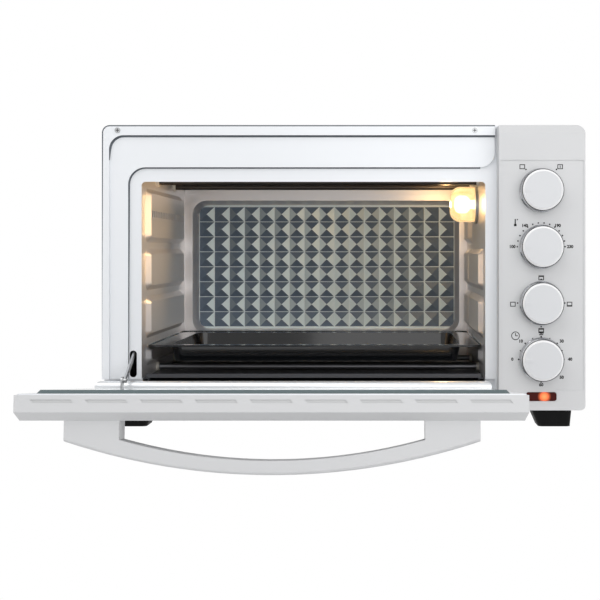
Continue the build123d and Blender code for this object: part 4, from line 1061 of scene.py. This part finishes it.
class AddBends(OvenOperator):
    """Adds the rounded bends at the feet of the front frame's steps, the outer and inner ones dark with
    painted shade, and the hem shade, a dark strip of painted shade along the frame's left and top edges
    """
    bl_idname = "mini_oven.add_bends"
    bl_label = "Add Bends"

    def execute(self, context):
        start, end = low("front_frame"), high("front_frame")
        side = low("control_fascia").x - FRAME_END_GAP
        rim_x, rim_z = start.x + RIM_SIDE, end.z - RIM_TOP
        band_x, band_z = start.x + BAND_SIDE, end.z - BAND_TOP
        band_y = start.y + BAND_DEPTH
        turn = side - RIM_CORNER
        bend_strip("outer_bend", [(rim_x, rim_z - OUTER_BEND_DROP), (rim_x, rim_z), (side, rim_z)],
                   RIM_CORNER, start.y, OUTER_BEND_WIDTH, BAND_DEPTH, painted_bend_shade())
        bend_strip("inner_bend", [(band_x, start.z + INNER_BEND_RISE), (band_x, band_z), (turn, band_z)],
                   INNER_CORNER, band_y, INNER_BEND_WIDTH, BAND_DEPTH, painted_bend_shade())
        bend_strip("end_bend", [(turn, band_z), (side, band_z), (side, end.z - END_BEND_STOP)],
                   END_BEND_CORNER, band_y, END_BEND_WIDTH, BAND_DEPTH, front_steel())
        bend_strip("hem_shade", [(start.x, start.z + HEM_RISE), (start.x, end.z), (side, end.z)],
                   CABINET_CORNER, start.y - HEM_THICKNESS, HEM_WIDTH, HEM_THICKNESS, painted_bend_shade())
        return {"FINISHED"}


def opened(mesh):
    """Turns a mesh drawn on the shut door down with the open door."""
    joint = next(one for one in frame["record"]["behaviour"]["joints"] if one["name"] == "door_hinge")
    pivot = Matrix.Translation(Vector(joint["pos_m"]))
    turn = Matrix.Rotation(math.radians(joint["range_deg"][1]), 4, "X")
    mesh.transform(pivot @ turn @ pivot.inverted())
    return mesh


class FillVents(OvenOperator):
    """Fills the door's top slots up to a shallow depth"""
    bl_idname = "mini_oven.fill_vents"
    bl_label = "Fill Vents"

    def execute(self, context):
        start, end = low("front_frame"), high("front_frame")
        left, right = low("door_casing").x, high("door_casing").x
        size = (right - left - VENT_END_ROOM, VENT_FLOOR_WIDTH, VENT_FLOOR_DEPTH)
        centre = ((left + right) / 2, start.y - VENT_FROM_FRAME, end.z - VENT_DROP - VENT_FLOOR_DEPTH / 2)
        floor = opened(block_mesh("vent_floor", size, centre))
        new_piece("vent_floor", floor, vent_shade(), "door")
        return {"FINISHED"}


class AddShadeRings(OvenOperator):
    """Adds the thin dark ring round each knob's cap, painted shade for the dark edge round the cap"""
    bl_idname = "mini_oven.add_trims"
    bl_label = "Add Shade Rings"

    def execute(self, context):
        turns = [2 * math.pi * i / SHADE_RING_SIDES for i in range(SHADE_RING_SIDES)]
        swings = [2 * math.pi * i / SHADE_RING_SECTION_SIDES for i in range(SHADE_RING_SECTION_SIDES)]
        for kind in KNOBS:
            centre, start, end = middle(f"{kind}_knob"), low(f"{kind}_knob"), high(f"{kind}_knob")
            cap_radius = (end.x - start.x) / 2
            shape = bmesh.new()
            rings = []
            for turn in turns:
                ring = []
                for swing in swings:
                    far = cap_radius + SHADE_RING_RADIUS * math.cos(swing)
                    y = start.y + SHADE_RING_DEPTH + SHADE_RING_RADIUS * math.sin(swing)
                    place = (centre.x + far * math.cos(turn), y, centre.z + far * math.sin(turn))
                    ring.append(shape.verts.new(place))
                rings.append(ring)
            for face in skin(shape, rings + rings[:1]):
                face.smooth = True
            bmesh.ops.recalc_face_normals(shape, faces=shape.faces)
            new_piece(f"{kind}_trim", mesh_from(f"{kind}_trim", shape), shade_ring_metal(), f"{kind}_knob")
        return {"FINISHED"}


class AddFixings(OvenOperator):
    """Adds the crosses in the screw heads, flat dark marks of painted shade"""
    bl_idname = "mini_oven.add_fixings"
    bl_label = "Add Fixings"

    def execute(self, context):
        start, end = low("frame_screws"), high("frame_screws")
        z = (start.z + end.z) / 2
        for side, x in (("left", start.x + SCREW_RADIUS), ("right", end.x - SCREW_RADIUS)):
            screw_slot(f"{side}_screw_cross", (x, start.y, z), SCREW_RADIUS)
        return {"FINISHED"}


def stage_light(name, kind, power, place, target=None):
    """A light at a place, and its data. With a target it is turned to point there."""
    data = bpy.data.lights.new(name, kind)
    data.energy = power
    light = bpy.data.objects.new(name, data)
    bpy.context.scene.collection.objects.link(light)
    light.location = place
    if target is not None:
        light.rotation_euler = (Vector(target) - Vector(place)).to_track_quat("-Z", "Y").to_euler()
    return data


def area_light(name, power, size, place, target):
    """A square soft light that points at a target."""
    data = stage_light(name, "AREA", power, place, target)
    data.shape = "SQUARE"
    data.size = size


def white_for_view(name, base):
    """A pale material that the camera, reflections and glass see as white."""
    material, shader = plain_material(name, base, 0.9)
    tree = material.node_tree
    path = tree.nodes.new("ShaderNodeLightPath")
    seen = path.outputs["Is Camera Ray"]
    for ray in ("Is Glossy Ray", "Is Transmission Ray"):
        either = math_node(tree.nodes, "MAXIMUM")
        tree.links.new(seen, either.inputs[0])
        tree.links.new(path.outputs[ray], either.inputs[1])
        seen = either.outputs[0]
    white = tree.nodes.new("ShaderNodeEmission")
    mix = tree.nodes.new("ShaderNodeMixShader")
    tree.links.new(seen, mix.inputs["Fac"])
    tree.links.new(shader.outputs["BSDF"], mix.inputs[1])
    tree.links.new(white.outputs["Emission"], mix.inputs[2])
    tree.links.new(mix.outputs["Shader"], tree.nodes["Material Output"].inputs["Surface"])
    return material


def studio_world():
    """An even world that the camera sees as white."""
    world = bpy.data.worlds.new("Studio World")
    world.use_nodes = True
    tree = world.node_tree
    even = tree.nodes["Background"]
    even.inputs["Color"].default_value = (1.0, 1.0, 1.0, 1.0)
    even.inputs["Strength"].default_value = settings().stage.world_strength
    white = tree.nodes.new("ShaderNodeBackground")
    white.inputs["Color"].default_value = (1.0, 1.0, 1.0, 1.0)
    path = tree.nodes.new("ShaderNodeLightPath")
    mix = tree.nodes.new("ShaderNodeMixShader")
    tree.links.new(path.outputs["Is Camera Ray"], mix.inputs["Fac"])
    tree.links.new(even.outputs["Background"], mix.inputs[1])
    tree.links.new(white.outputs["Background"], mix.inputs[2])
    tree.links.new(mix.outputs["Shader"], tree.nodes["World Output"].inputs["Surface"])
    bpy.context.scene.world = world


class BuildStudio(OvenOperator):
    """Sets the floor, the lights, the world and the camera"""
    bl_idname = "mini_oven.build_studio"
    bl_label = "Build Studio"

    def build_floor(self):
        """A wide flat floor under the oven's feet."""
        shape = bmesh.new()
        bmesh.ops.create_grid(shape, x_segments=1, y_segments=1, size=FLOOR_HALF)
        floor = bpy.data.objects.new("floor", mesh_from("floor", shape))
        bpy.context.scene.collection.objects.link(floor)
        floor.data.materials.append(white_for_view("Studio Floor", (0.86, 0.86, 0.86)))

    def light_lamp(self, stage):
        """The oven lamp's own light, and its beam on the left wall."""
        glass = middle("lamp_glass")
        place = Vector((low("lamp_glass").x - LAMP_GAP, glass.y, glass.z))
        lamp = stage_light("oven_lamp_light", "POINT", stage.lamp_power, place)
        lamp.shadow_soft_size = LAMP_SOFTNESS
        target = Vector((low("cavity_left_wall").x, glass.y - BEAM_AIM_FORWARD, glass.z - BEAM_AIM_DOWN))
        beam = stage_light("oven_lamp_beam", "SPOT", stage.beam_power, place, target)
        beam.spot_size = math.radians(BEAM_ANGLE)
        beam.spot_blend = 1.0
        beam.shadow_soft_size = BEAM_SOFTNESS
        for light in (lamp, beam):
            light.color = settings().finish.glow

    def place_camera(self, stage, rim, centre):
        """A level camera before the front, with its picture shifted."""
        data = bpy.data.cameras.new("camera")
        data.lens = stage.focal_length
        data.sensor_width = SENSOR_WIDTH
        data.shift_x = stage.shift_x
        data.shift_y = stage.shift_y
        camera = bpy.data.objects.new("camera", data)
        bpy.context.scene.collection.objects.link(camera)
        camera.location = (centre.x + stage.camera_side, rim.y - stage.camera_distance, stage.camera_height)
        camera.rotation_euler = (math.pi / 2, 0, 0)
        bpy.context.scene.camera = camera

    def execute(self, context):
        stage = settings().stage
        context.scene.view_settings.view_transform = "Standard"
        rim = low("front_frame")
        centre = middle("front_frame")
        studio_world()
        self.build_floor()
        area_light("key_light", stage.key_power, KEY_SIZE, (KEY_SIDE, rim.y - KEY_BEFORE, KEY_UP), centre)
        area_light("fill_light", stage.fill_power, FILL_SIZE, (FILL_SIDE, rim.y - FILL_BEFORE, FILL_UP),
                   centre)
        self.light_lamp(stage)
        self.place_camera(stage, rim, centre)
        return {"FINISHED"}


class OvenPanel(bpy.types.Panel):
    """Lists the oven's operators and settings"""
    bl_idname = "VIEW3D_PT_mini_oven"
    bl_label = "Mini Oven"
    bl_space_type = "VIEW_3D"
    bl_region_type = "UI"
    bl_category = "Mini Oven"

    def draw(self, context):
        for operator in OPERATORS:
            self.layout.operator(operator.bl_idname)
        for group in (settings().finish, settings().prints, settings().stage):
            for name in group.__annotations__:
                self.layout.prop(group, name)


GROUPS = (OvenFinishSettings, OvenPrintSettings, OvenStageSettings, OvenSettings)
OPERATORS = (FinishCabinet, FinishCavity, FinishDoor, FinishKnobs, FinishLights, PrintDials, AddBends,
             FillVents, AddShadeRings, AddFixings, BuildStudio)


def register():
    """Registers the classes and the scene's settings."""
    for one in (*GROUPS, *OPERATORS, OvenPanel):
        bpy.utils.register_class(one)
    bpy.types.Scene.mini_oven = PointerProperty(type=OvenSettings)


def unregister():
    """Takes the classes and settings away."""
    del bpy.types.Scene.mini_oven
    for one in (OvenPanel, *reversed(OPERATORS), *reversed(GROUPS)):
        bpy.utils.unregister_class(one)


def main():
    """Builds the dressed oven."""
    register()
    for operator in OPERATORS:
        module, name = operator.bl_idname.split(".")
        getattr(getattr(bpy.ops, module), name)()


if __name__ == "__main__":
    main()
